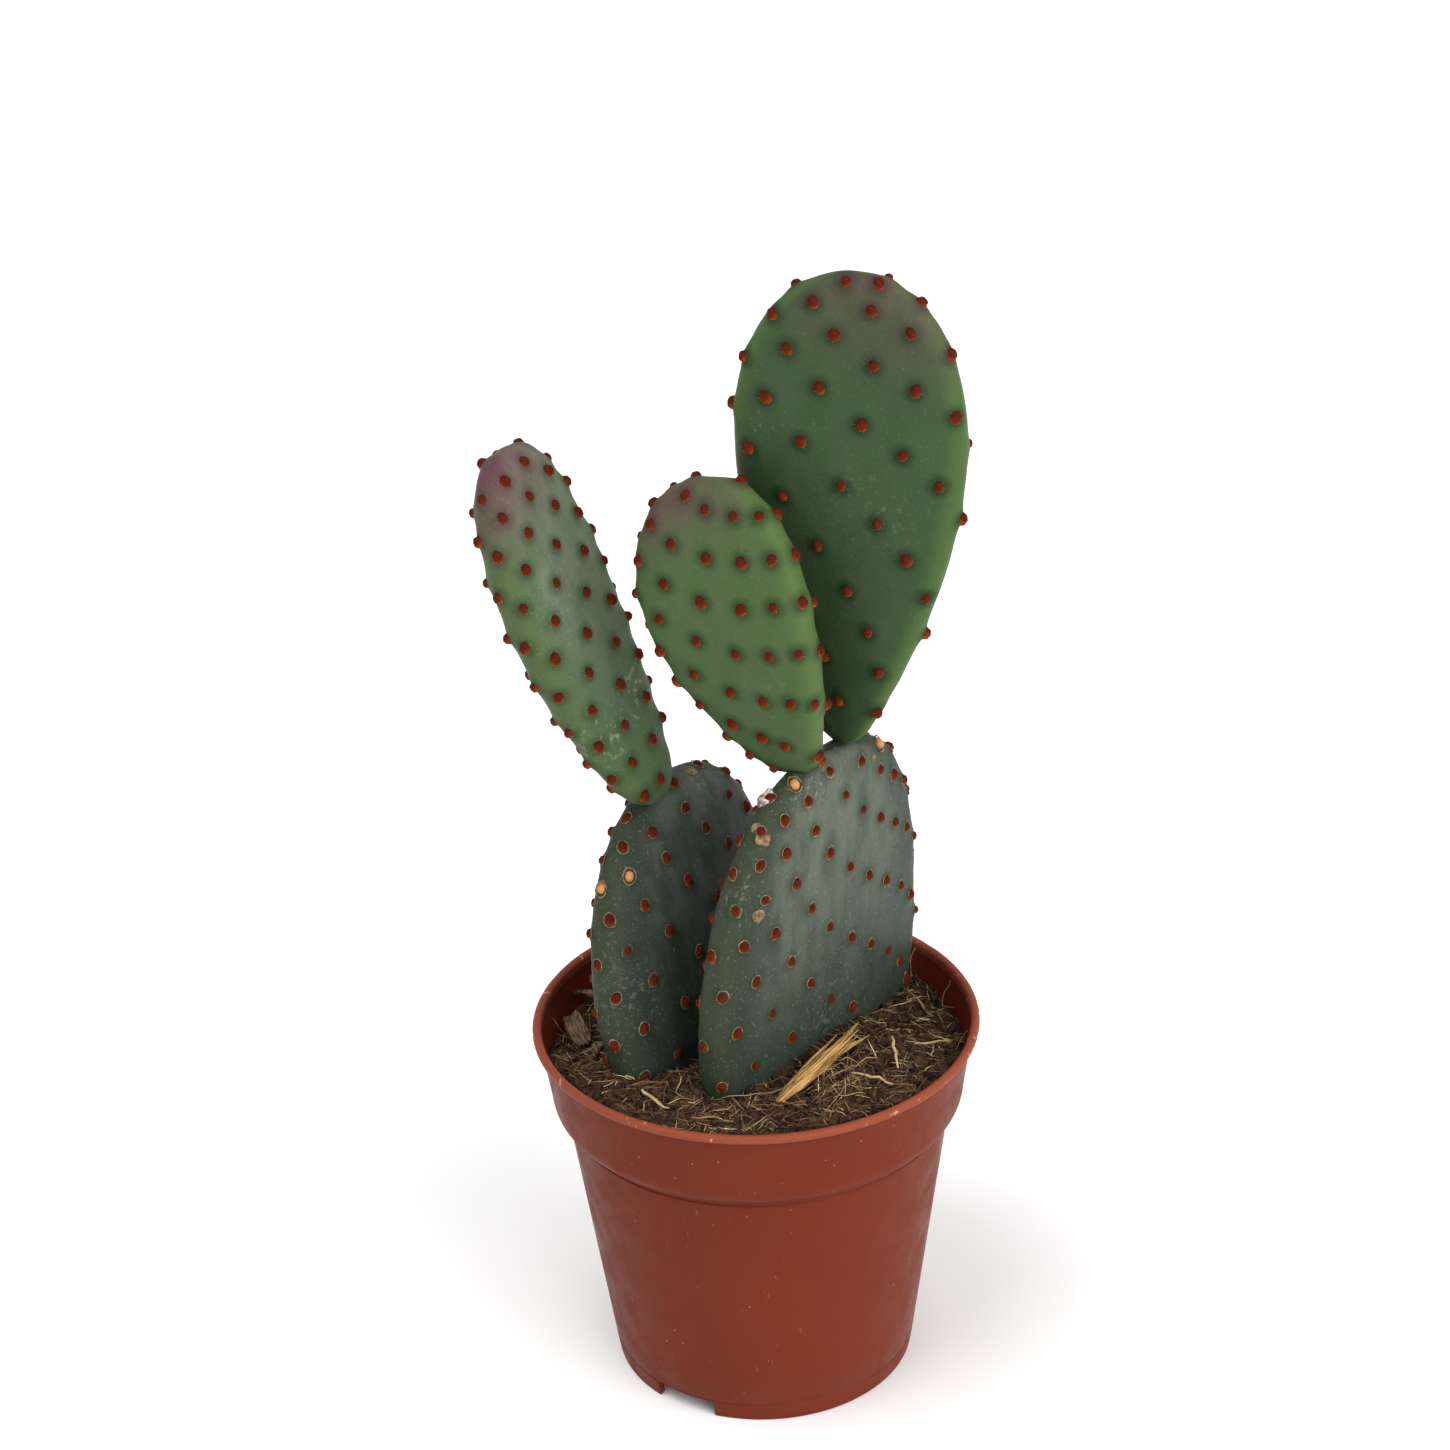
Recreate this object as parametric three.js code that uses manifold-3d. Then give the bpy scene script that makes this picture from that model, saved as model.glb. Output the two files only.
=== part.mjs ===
// Cinnamon cactus in a small round nursery pot: two flat base pads stand in the soil, three
// younger pads grow from their top margins, and all five carry rows of red-brown bristle tufts.
// Millimetres, +Z up, foot of the pot at z = 0, seen from -Y in the usual view.
import * as THREE from "three";
import { mergeVertices } from "three/addons/utils/BufferGeometryUtils.js";
import Module from "manifold-3d";

const wasm = await Module();
wasm.setup();
const { Manifold, Mesh } = wasm;
const V = (x, y, z) => new THREE.Vector3(x, y, z);
const TURN = 2 * Math.PI;

// Pot
const POT_HEIGHT = 73.4;
const LIP_RADIUS = 42.5; // outside of the rounded lip
const LIP_WIDTH = 1.75;
const LIP_HEIGHT = 1.9;
const COLLAR_TOP_RADIUS = 41.2;
const COLLAR_FOOT_RADIUS = 39.5;
const COLLAR_FOOT_Z = 60.0;
const SHOULDER_Z = 55.5; // the collar has drawn in to the body here
const BODY_TOP_RADIUS = 36.8;
const CREASE_Z = 54.7; // fine line under the shoulder
const CREASE_DEPTH = 0.3;
const FOOT_RADIUS = 29.0;
const FOOT_RING_WIDTH = 1.5;
const FOOT_LINE_Z = 3.9; // fine line that runs round the foot at the height of the notches
const WALL = 0.9;
const FLOOR_Z = 4.2; // underside of the raised floor
const NOTCH_WIDTH = 12.6;
const NOTCH_ANGLES = [-123.5, 56.5]; // degrees from +X
const DRAIN_RADIUS = 2.6;
const DRAIN_CIRCLE = 17;
const DRAIN_COUNT = 6;
const POT_SIDES = 32;

// Soil
const GAP = 0.35; // between any two pieces
const SOIL_LEVEL = 66.6;
const SOIL_FRONT_RISE = 4.6;
const SOIL_MOUND = { x: 18, y: -5, radius: 17, height: 4.2 };
const SOIL_HOLLOW = { x: -31, y: 10, radius: 14, height: -3.6 };
const SOIL_BACK_MOUND = { x: 26, y: 12, radius: 12, height: 1.2 };
const SOIL_ROUGHNESS = 0.75;
const SOIL_SIDES = 28;
const SOIL_RINGS = 8;
const STRAW_COUNT = 15;
const STRAW_THICKNESS = 0.9;

// Splinter of wood that lies on the mound, from its pointed end to its frayed end
const SPLINTER = { from: [3.6, -32.0], to: [19.6, -7.0], width: 3.4, thickness: 1.5 };
// Chip of bark that leans against the wall of the pot
const CHIP = { from: [-35.9, 13.0], to: [-33.0, 2.5], width: 3.4, thickness: 1.2, rise: 5.5 };

// Bristle tufts
const TUFT_RADIUS = 1.2;
const TUFT_HEIGHT = 1.35;
const TUFT_ROOT = 1.6; // how far the point of a tuft is sunk into its pad
const TUFT_SIDES = 5;
const FINEST = 0.04; // detail below this size is left out of the finished solids

// Pads. foot: centre of the buried or joined end. lean: sideways and backward drift per mm of
// height. facing: turn of the flat side about the pad's own axis in radians, changing by twist
// along it. halfWidth and halfThick: largest half sizes. lower, upper: how blunt the two ends of
// the outline are; end keeps the lower one from closing to a point, and the share rounding of the
// length is rounded off there. bow, cup, sway: bend along the pad, hollow across it and sideways
// bend, mm.
// Tufts follow one spiral: each is turn round the pad and step down it after the one before.
const PADS = {
  base_pad_left: {
    foot: [-9.11, 1.0, 53.61], lean: [-0.072, 0.168], facing: 0.922, twist: -0.11,
    length: 67.8, halfWidth: 26.64, halfThick: 7.2, lower: 0.369, upper: 0.454,
    bow: -0.13, cup: -0.55, sway: -0.66, end: 0.04, rounding: 0.1, colour: "#47605a",
    spiral: { turn: 0.2173, step: 0.0091, start: 0.3338, first: 0.2364, ease: 0.255,
      crowd: 0.487, edgeDrop: 0.032, faceDrop: 0.003, drift: -0.023 },
  },
  base_pad_right: {
    foot: [9.73, 3.0, 53.64], lean: [0.048, -0.135], facing: 0.892, twist: -0.057,
    length: 80.04, halfWidth: 31.28, halfThick: 7.18, lower: 0.227, upper: 0.366,
    bow: -0.98, cup: 1.26, sway: -1.79, end: 0.04, rounding: 0.1, colour: "#4c655d",
    spiral: { turn: 0.1784, step: 0.0075, start: 0.3726, first: 0.1993, ease: 0.306,
      crowd: 0.344, edgeDrop: 0.061, faceDrop: 0, drift: 0.002 },
  },
  top_pad_left: {
    foot: [-16.53, 3.0, 118.28], lean: [-0.382, 0.075], facing: 1.014, twist: 0.186,
    length: 73.2, halfWidth: 13.44, halfThick: 5.69, lower: 0.685, upper: 0.334,
    bow: -0.98, cup: 0.85, sway: -1.97, end: 0.076, rounding: 0.06, colour: "#54705a",
    spiral: { turn: 0.1317, step: 0.0106, start: -0.1387, first: -0.1395, ease: 0.042,
      crowd: 0.263, edgeDrop: 0.034, faceDrop: 0.079, drift: -0.01 },
  },
  top_pad_middle: {
    foot: [9.01, -10.0, 130.09], lean: [-0.263, -0.034], facing: -0.558, twist: 0.254,
    length: 60.62, halfWidth: 16.57, halfThick: 6.0, lower: 0.718, upper: 0.443,
    bow: 2.33, cup: 2.03, sway: -0.91, end: 0.039, rounding: 0.06, colour: "#4f7a4a",
    spiral: { turn: -0.3607, step: 0.0123, start: 0.3981, first: 0.1268, ease: 0.208,
      crowd: 0.226, edgeDrop: 0.04, faceDrop: -0.002, drift: 0.053 },
  },
  top_pad_tall: {
    foot: [16.57, -2.5, 132.1], lean: [0.031, -0.096], facing: -0.433, twist: 0.808,
    length: 93.35, halfWidth: 20.7, halfThick: 6.11, lower: 0.957, upper: 0.48,
    bow: -0.4, cup: 1.19, sway: 1.08, end: 0.079, rounding: 0.06, colour: "#4a7648",
    spiral: { turn: -0.1794, step: 0.0122, start: 0.2703, first: 0.1499, ease: 0.391,
      crowd: 0.102, edgeDrop: 0.029, faceDrop: 0.024, drift: 0.053 },
  },
};
const PAD_ROWS = 14;
const PAD_COLUMNS = 16;
const SQUARENESS = 0.8; // below 1 the cross-section is fuller than an ellipse
const FACET_ALLOWANCE = 0.2; // the flat facets cut inside the true curve by about this much

// The same sequence of fractions on every run.
function fractions(seed) {
  let s = seed;
  return () => (s = (s * 16807) % 2147483647) / 2147483647;
}

function solidOf(geometry) {
  const g = geometry.clone();
  for (const name of Object.keys(g.attributes)) if (name !== "position") g.deleteAttribute(name);
  const merged = mergeVertices(g, 1e-4);
  return new Manifold(
    new Mesh({
      numProp: 3,
      vertProperties: new Float32Array(merged.attributes.position.array),
      triVerts: new Uint32Array(merged.index.array),
    }),
  );
}

// A closed skin over rings of points, each ring the same way round, with a point at both ends.
function skin(rings, first, last) {
  const n = rings[0].length;
  const points = [first, ...rings.flat(), last];
  const faces = [];
  const at = (r, k) => 1 + r * n + (k % n);
  for (let k = 0; k < n; k++) {
    faces.push(0, at(0, k + 1), at(0, k));
    for (let r = 0; r + 1 < rings.length; r++) {
      faces.push(at(r, k), at(r, k + 1), at(r + 1, k + 1));
      faces.push(at(r, k), at(r + 1, k + 1), at(r + 1, k));
    }
    faces.push(points.length - 1, at(rings.length - 1, k), at(rings.length - 1, k + 1));
  }
  const g = new THREE.BufferGeometry();
  g.setAttribute("position", new THREE.Float32BufferAttribute(points.flatMap((p) => p.toArray()), 3));
  g.setIndex(faces);
  const solid = solidOf(g);
  if (solid.volume() < 0) throw new Error("a skin faces inwards");
  return solid;
}

// The main body of a solid, without crumbs left by a cut and without needless short edges.
function mainBody(solid) {
  return solid.decompose().sort((a, b) => b.volume() - a.volume())[0].simplify(FINEST);
}

// Pads

function taper(u, lower, upper, end) {
  const shape = (t) => (t + end) ** lower * (1 - t) ** upper;
  return shape(u) / shape((lower - upper * end) / (lower + upper));
}

// Half width and half thickness at the share u of the length.
function halfSizes(pad, u) {
  const root = u < pad.rounding ? Math.sqrt(Math.max(0, 1 - (1 - u / pad.rounding) ** 2)) : 1;
  return [
    pad.halfWidth * taper(u, pad.lower, pad.upper, pad.end) * root,
    pad.halfThick * taper(u, 0.8 * pad.lower, 0.9 * pad.upper, pad.end) * root,
  ];
}

function sectionPoint(halfWidth, halfThick, angle) {
  const c = Math.cos(angle), s = Math.sin(angle);
  return [
    Math.sign(c) * Math.abs(c) ** SQUARENESS * halfWidth,
    Math.sign(s) * Math.abs(s) ** SQUARENESS * halfThick,
  ];
}

// From across and through the pad at the share u of its length to a point in space.
function place(pad, u, across, through) {
  const axis = V(...pad.lean, 1).normalize();
  const out = V(0, -1, 0).addScaledVector(axis, axis.y).normalize();
  const side = axis.clone().cross(out);
  const facing = pad.facing + pad.twist * (u - 0.5);
  out.applyAxisAngle(axis, facing);
  side.applyAxisAngle(axis, facing);
  const hump = 4 * u * (1 - u);
  return V(...pad.foot)
    .addScaledVector(axis, pad.length * u)
    .addScaledVector(side, across + pad.sway * hump)
    .addScaledVector(out, through + pad.cup * (across / pad.halfWidth) ** 2 + pad.bow * hump);
}

function padBody(pad, grow) {
  const rings = [];
  for (let r = 0; r < PAD_ROWS; r++) {
    const u = 0.5 - 0.5 * Math.cos((Math.PI * (r + 0.35)) / (PAD_ROWS - 0.3));
    const [w, t] = halfSizes(pad, u);
    rings.push(
      Array.from({ length: PAD_COLUMNS }, (_, k) =>
        place(pad, u, ...sectionPoint(w + grow, t + grow, (-TURN * k) / PAD_COLUMNS))),
    );
  }
  return skin(rings, place(pad, -grow / pad.length, 0, 0), place(pad, 1 + grow / pad.length, 0, 0));
}

// Angle of the section at the share q of its girth.
function girthAngle(w, t, q) {
  const steps = 64;
  const lengths = [0];
  let last = sectionPoint(w, t, 0);
  for (let k = 1; k <= steps; k++) {
    const next = sectionPoint(w, t, (TURN * k) / steps);
    lengths.push(lengths[k - 1] + Math.hypot(next[0] - last[0], next[1] - last[1]));
    last = next;
  }
  const goal = (q - Math.floor(q)) * lengths[steps];
  const k = lengths.findIndex((l) => l > goal);
  const share = (goal - lengths[k - 1]) / (lengths[k] - lengths[k - 1]);
  return (TURN * (k - 1 + share)) / steps;
}

// Where tuft number n sits: share of the length and angle of the section.
function tuftSeat(pad, n) {
  const s = pad.spiral;
  const q = s.start + n * s.turn + s.drift * (n / 40 - 0.5) ** 2;
  const down = 1 - s.first - n * s.step;
  const swell = s.ease / 4 + s.faceDrop * Math.sin(TURN * q) + s.edgeDrop * Math.cos(2 * TURN * q);
  const u = down + swell * 4 * down * (1 - down);
  if (!(u > 0.045 && u < 0.992)) return null;
  const girth = q - (s.crowd / (2 * TURN)) * Math.sin(2 * TURN * q);
  return [u, girthAngle(...halfSizes(pad, u), girth)];
}

function tuft(seat, outward, spin) {
  const aside = V(outward.z, outward.x, outward.y).cross(outward).normalize();
  const ahead = outward.clone().cross(aside);
  const ring = (radius, height) =>
    Array.from({ length: TUFT_SIDES }, (_, k) => {
      const a = spin + (TURN * k) / TUFT_SIDES;
      return seat.clone()
        .addScaledVector(outward, height)
        .addScaledVector(aside, radius * Math.cos(a))
        .addScaledVector(ahead, radius * Math.sin(a));
    });
  return skin(
    [ring(TUFT_RADIUS, 0.4 * TUFT_HEIGHT)],
    seat.clone().addScaledVector(outward, -TUFT_ROOT),
    seat.clone().addScaledVector(outward, TUFT_HEIGHT),
  );
}

// Seats of all tufts of a pad that stand clear of each other, of the soil and of other pads.
function tuftSeats(pad, isFree) {
  const seats = [];
  for (let n = -40; n < 160; n++) {
    const at = tuftSeat(pad, n);
    if (!at) continue;
    const [u, angle] = at;
    const surface = (du, da) => {
      const [w, t] = halfSizes(pad, u + du);
      return place(pad, u + du, ...sectionPoint(w, t, angle + da));
    };
    const seat = surface(0, 0);
    const along = surface(0.004, 0).sub(surface(-0.004, 0));
    const round = surface(0, 0.05).sub(surface(0, -0.05));
    const outward = along.cross(round).normalize();
    if (seats.every((o) => o.seat.distanceTo(seat) > 3 * TUFT_RADIUS) && isFree(seat)) {
      seats.push({ seat, outward });
    }
  }
  return seats;
}

// Soil

function bump(x, y, m) {
  return m.height * Math.exp(-((x - m.x) ** 2 + (y - m.y) ** 2) / (m.radius * m.radius * 0.5));
}

function soilTop(x, y) {
  const front = Math.min(1, Math.max(0, (8 - y) / 34));
  const rough =
    Math.sin(0.61 * x + 1.7) * Math.cos(0.53 * y - 0.4) + 0.6 * Math.sin(1.13 * x - 0.9 * y);
  return (
    SOIL_LEVEL + SOIL_FRONT_RISE * front * front * (3 - 2 * front) + SOIL_ROUGHNESS * 0.6 * rough +
    bump(x, y, SOIL_MOUND) + bump(x, y, SOIL_HOLLOW) + bump(x, y, SOIL_BACK_MOUND)
  );
}

// Inside of the pot as radius and height, from the floor up.
const INSIDE = [
  [FOOT_RADIUS + FLOOR_Z * 0.14 - WALL, FLOOR_Z + WALL],
  [BODY_TOP_RADIUS - WALL - 0.15, CREASE_Z - 1.2],
  [BODY_TOP_RADIUS - WALL + 0.1, SHOULDER_Z + 0.5],
  [COLLAR_FOOT_RADIUS - WALL, SHOULDER_Z + 3.2],
  [LIP_RADIUS - LIP_WIDTH, POT_HEIGHT - LIP_HEIGHT],
];

function lathe(profile, sides) {
  const points = profile.map(([r, z]) => new THREE.Vector2(r, z));
  return solidOf(new THREE.LatheGeometry([...points, points[0]], sides).rotateX(Math.PI / 2));
}

// A thin stick between two points, w wide and t thick, with pointed or blunt ends.
function stick(from, to, w, t, blunt, twist) {
  const along = to.clone().sub(from);
  const axis = along.clone().normalize();
  const aside = along.clone().cross(V(0, 0, 1)).normalize().applyAxisAngle(axis, twist);
  const up = along.clone().cross(aside).normalize();
  const ring = (share, size) =>
    [[1, 0], [0.5, 1], [-0.5, 1], [-1, 0], [-0.5, -1], [0.5, -1]].map(([a, b]) =>
      from.clone().addScaledVector(along, share)
        .addScaledVector(aside, (a * w * size) / 2).addScaledVector(up, (b * t * size) / 2));
  return skin(
    [ring(0.02, blunt), ring(0.3, 1), ring(0.7, 0.92), ring(0.98, blunt)],
    from.clone(), to.clone(),
  );
}

// A sliver that tapers to a point at both ends, thickest in the middle.
function sliver(from, to, thickness) {
  const along = to.clone().sub(from).normalize();
  const aside = along.clone().cross(V(0, 0, 1)).normalize();
  const up = along.clone().cross(aside).normalize();
  const middle = from.clone().add(to).multiplyScalar(0.5);
  const ring = [[1, 0], [0, 1], [-1, 0], [0, -1]].map(([a, b]) =>
    middle.clone().addScaledVector(aside, a * thickness).addScaledVector(up, b * thickness));
  return skin([ring], from, to);
}

function makePot() {
  const slope = (BODY_TOP_RADIUS - FOOT_RADIUS) / SHOULDER_Z;
  const body = (z) => FOOT_RADIUS + slope * z;
  const outside = [
    [FOOT_RADIUS - 0.4, 0],
    [FOOT_RADIUS, 0.4],
    [body(FOOT_LINE_Z - 0.2), FOOT_LINE_Z - 0.2],
    [body(FOOT_LINE_Z) - 0.18, FOOT_LINE_Z],
    [body(FOOT_LINE_Z + 0.2), FOOT_LINE_Z + 0.2],
    [body(CREASE_Z - 0.3), CREASE_Z - 0.3],
    [body(CREASE_Z) - CREASE_DEPTH, CREASE_Z],
    [body(CREASE_Z + 0.3), CREASE_Z + 0.3],
    [BODY_TOP_RADIUS + 0.15, SHOULDER_Z],
    [BODY_TOP_RADIUS + 1.1, SHOULDER_Z + 0.7],
    [COLLAR_FOOT_RADIUS - 0.5, SHOULDER_Z + 2.0],
    [COLLAR_FOOT_RADIUS - 0.1, SHOULDER_Z + 3.2],
    [COLLAR_FOOT_RADIUS, COLLAR_FOOT_Z],
    [COLLAR_TOP_RADIUS, POT_HEIGHT - LIP_HEIGHT],
    [LIP_RADIUS - 0.1, POT_HEIGHT - LIP_HEIGHT + 0.15],
    [LIP_RADIUS, POT_HEIGHT - 0.9],
    [LIP_RADIUS - 0.35, POT_HEIGHT - 0.25],
    [LIP_RADIUS - 0.85, POT_HEIGHT],
    [LIP_RADIUS - LIP_WIDTH + 0.25, POT_HEIGHT - 0.25],
    [LIP_RADIUS - LIP_WIDTH, POT_HEIGHT - 0.9],
  ];
  const floor = [
    [0, FLOOR_Z + WALL],
    [0, FLOOR_Z],
    [FOOT_RADIUS - FOOT_RING_WIDTH + 0.4, FLOOR_Z],
    [FOOT_RADIUS - FOOT_RING_WIDTH, 0],
  ];
  let pot = lathe([...outside, ...INSIDE.slice().reverse(), ...floor], POT_SIDES);
  for (const angle of NOTCH_ANGLES) {
    const notch = new THREE.BoxGeometry(8, NOTCH_WIDTH, 2 * FOOT_LINE_Z - 0.4)
      .translate(FOOT_RADIUS, 0, 0)
      .rotateZ(THREE.MathUtils.degToRad(angle));
    pot = pot.subtract(solidOf(notch));
  }
  for (let k = 0; k <= DRAIN_COUNT; k++) {
    const angle = (TURN * (k + 0.5)) / DRAIN_COUNT;
    const reach = k === DRAIN_COUNT ? 0 : DRAIN_CIRCLE;
    const drain = new THREE.CylinderGeometry(DRAIN_RADIUS, DRAIN_RADIUS, 4, 12)
      .rotateX(Math.PI / 2)
      .translate(reach * Math.cos(angle), reach * Math.sin(angle), FLOOR_Z + WALL / 2);
    pot = pot.subtract(solidOf(drain));
  }
  return pot;
}

function makeSoil(stubs) {
  const reach = LIP_RADIUS + 2;
  const ring = (r, height) =>
    Array.from({ length: SOIL_SIDES }, (_, k) => {
      const a = (TURN * k) / SOIL_SIDES;
      const x = r * Math.cos(a), y = r * Math.sin(a);
      return V(x, y, height(x, y));
    });
  const rings = [ring(reach, () => -4)];
  for (let k = SOIL_RINGS; k > 0; k--) rings.push(ring((reach * k) / SOIL_RINGS, soilTop));
  const relief = skin(rings, V(0, 0, -4), V(0, 0, soilTop(0, 0)));
  const hollow = lathe(
    [
      [0, FLOOR_Z + WALL + GAP],
      ...INSIDE.map(([r, z], k) => [r - GAP, z + (k ? 0 : GAP)]),
      [LIP_RADIUS - LIP_WIDTH - GAP, 78],
      [0, 78],
    ],
    SOIL_SIDES,
  );
  let soil = hollow.intersect(relief);
  const next = fractions(4711);
  for (let k = 0; k < STRAW_COUNT; k++) {
    const angle = TURN * next(), r = 12 + 22 * Math.sqrt(next());
    const heading = TURN * next(), half = 2 + 2.8 * next();
    const x = r * Math.cos(angle), y = r * Math.sin(angle);
    const end = (s) => {
      const ex = x + s * half * Math.cos(heading), ey = y + s * half * Math.sin(heading);
      return V(ex, ey, soilTop(ex, ey) + 0.25 + 0.2 * s);
    };
    soil = soil.add(sliver(end(-1), end(1), STRAW_THICKNESS));
  }
  soil = soil.intersect(hollow);
  for (const stub of stubs) soil = soil.subtract(stub);
  return mainBody(soil);
}

function makeSplinter() {
  const [x0, y0] = SPLINTER.from, [x1, y1] = SPLINTER.to;
  const lift = 1.9;
  const spine = [0, 0.34, 0.67, 1].map((s) => {
    const x = x0 + s * (x1 - x0), y = y0 + s * (y1 - y0);
    return V(x, y, soilTop(x, y) + lift + 0.3 * Math.sin(Math.PI * s));
  });
  const side = V(y1 - y0, x0 - x1, 0).normalize();
  const size = [0.45, 0.85, 1.1, 0.9];
  const rings = spine.map((p, k) =>
    [[1, 0.1], [0.5, 0.9], [-0.4, 1], [-1, 0.2], [-0.6, -0.9], [0.5, -1]].map(([a, b]) =>
      p.clone().addScaledVector(side, -0.5 * a * SPLINTER.width * size[k])
        .add(V(0, 0, 0.5 * b * SPLINTER.thickness * size[k]))));
  const along = V(x1 - x0, y1 - y0, 0).normalize();
  const blunt = spine[0].clone().addScaledVector(along, -1.2);
  return skin(rings, blunt, spine[3].clone().addScaledVector(along, 1.6));
}

function makeChip() {
  const [x0, y0] = CHIP.from, [x1, y1] = CHIP.to;
  const low = V(x1, y1, soilTop(x1, y1) + 1.6);
  const high = V(x0, y0, soilTop(x0, y0) + 1.6 + CHIP.rise * 0.35);
  return stick(low, high, CHIP.width, CHIP.thickness, 0.55, 0.5);
}

// Assembly

const COLOURS = { pot: "#8a3f2b", soil: "#4a3a2a", wood_splinter: "#c39a52", bark_chip: "#9a7a52" };

const padSkins = (grow) =>
  Object.fromEntries(Object.entries(PADS).map(([name, pad]) => [name, padBody(pad, grow)]));
const bare = padSkins(FACET_ALLOWANCE);
const grown = padSkins(FACET_ALLOWANCE + GAP);
const inside = (solid, p, reach) => {
  const probe = solidOf(new THREE.BoxGeometry(reach, reach, reach).translate(p.x, p.y, p.z));
  return solid.intersect(probe).volume() > 0;
};

// What each upper pad grows from, and what keeps the pads' tufts clear.
const PARENT = {
  top_pad_left: "base_pad_left", top_pad_middle: "base_pad_right", top_pad_tall: "base_pad_right",
};
const solids = {};
const names = Object.keys(PADS);
names.forEach((name, order) => {
  const others = names.filter((other) => other !== name);
  const isFree = (p) =>
    (PARENT[name] || p.z > soilTop(p.x, p.y) + 1.5) &&
    others.every((other) => !inside(grown[other], p, 2.2 * TUFT_RADIUS));
  const seats = tuftSeats(PADS[name], isFree);
  const tufts = seats.map(({ seat, outward }, k) => tuft(seat, outward, k * 0.7));
  let solid = Manifold.union([bare[name], ...tufts]);
  for (const earlier of names.slice(0, order)) solid = solid.subtract(grown[earlier]);
  solids[name] = mainBody(solid);
});
const stubs = [grown.base_pad_left, grown.base_pad_right];
solids.soil = makeSoil(stubs);
solids.pot = makePot();
solids.wood_splinter = makeSplinter().subtract(grown.base_pad_right);
solids.bark_chip = makeChip();
solids.soil = mainBody(solids.soil.subtract(makeSplinter()).subtract(makeChip()));

const group = new THREE.Group();
for (const [name, solid] of Object.entries(solids)) {
  const made = solid.getMesh();
  const g = new THREE.BufferGeometry();
  const n = made.numProp, flat = new Float32Array(made.numVert * 3);
  for (let k = 0; k < made.numVert; k++) {
    flat.set(made.vertProperties.subarray(k * n, k * n + 3), k * 3);
  }
  g.setAttribute("position", new THREE.BufferAttribute(flat, 3));
  g.setIndex(new THREE.BufferAttribute(made.triVerts, 1));
  g.computeVertexNormals();
  const color = PADS[name] ? PADS[name].colour : COLOURS[name];
  const mesh = new THREE.Mesh(g, new THREE.MeshStandardMaterial({
    color, roughness: name === "pot" ? 0.45 : name === "soil" ? 0.95 : 0.6, metalness: 0,
  }));
  mesh.name = name;
  group.add(mesh);
}

// The middle of the whole plant's box stands over the origin.
const middle = new THREE.Box3().setFromObject(group).getCenter(V(0, 0, 0));
for (const mesh of group.children) mesh.geometry.translate(-middle.x, -middle.y, 0);

export default group;
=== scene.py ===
# The looks of a cinnamon cactus in a small nursery pot, laid out as a Blender add-on.
# Pads, pot and soil are measured in millimetres from the axis of the pot, with its foot at zero.
import math
import random

import bpy
import numpy as np
from bpy.props import FloatProperty, FloatVectorProperty, IntProperty, PointerProperty
from mathutils import Matrix, Vector, noise
from mathutils.bvhtree import BVHTree
from mathutils.kdtree import KDTree


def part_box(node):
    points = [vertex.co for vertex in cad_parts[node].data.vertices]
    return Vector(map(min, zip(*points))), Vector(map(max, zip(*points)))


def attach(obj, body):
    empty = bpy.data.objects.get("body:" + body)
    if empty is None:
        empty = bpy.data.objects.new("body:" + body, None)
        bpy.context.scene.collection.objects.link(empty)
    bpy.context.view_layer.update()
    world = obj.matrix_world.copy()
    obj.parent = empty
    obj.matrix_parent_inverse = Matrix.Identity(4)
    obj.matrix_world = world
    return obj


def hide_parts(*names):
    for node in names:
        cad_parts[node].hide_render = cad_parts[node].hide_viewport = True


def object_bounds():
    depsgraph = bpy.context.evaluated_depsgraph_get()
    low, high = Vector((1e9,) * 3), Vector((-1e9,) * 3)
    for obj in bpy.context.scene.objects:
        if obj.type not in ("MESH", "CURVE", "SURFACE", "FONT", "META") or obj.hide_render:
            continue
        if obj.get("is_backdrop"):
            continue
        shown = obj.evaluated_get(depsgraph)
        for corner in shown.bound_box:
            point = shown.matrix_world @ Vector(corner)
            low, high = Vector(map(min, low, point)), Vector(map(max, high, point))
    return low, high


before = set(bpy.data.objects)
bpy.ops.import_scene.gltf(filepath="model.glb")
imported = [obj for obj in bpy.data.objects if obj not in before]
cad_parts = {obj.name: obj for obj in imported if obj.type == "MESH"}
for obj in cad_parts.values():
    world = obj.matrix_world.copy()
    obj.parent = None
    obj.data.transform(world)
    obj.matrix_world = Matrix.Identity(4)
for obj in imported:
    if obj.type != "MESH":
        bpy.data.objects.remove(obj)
CAD_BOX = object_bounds()

bl_info = {
    "name": "Potted Cinnamon Cactus",
    "version": (1, 0, 0),
    "blender": (4, 5, 0),
    "location": "3D View > Sidebar > Cactus",
    "description": "Builds a flat-padded cactus with bristle tufts in a tapered nursery pot",
    "category": "Add Mesh",
}

MM = 0.001
TURN = 2 * math.pi
POT_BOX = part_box("pot")
POT_X = (POT_BOX[0][0] + POT_BOX[1][0]) / 2 / MM  # where the axis of the pot stands in the frame
POT_Y = (POT_BOX[0][1] + POT_BOX[1][1]) / 2 / MM
POT_HEIGHT = POT_BOX[1][2] / MM
LIP_RADIUS = (POT_BOX[1][0] - POT_BOX[0][0]) / 2 / MM

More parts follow.
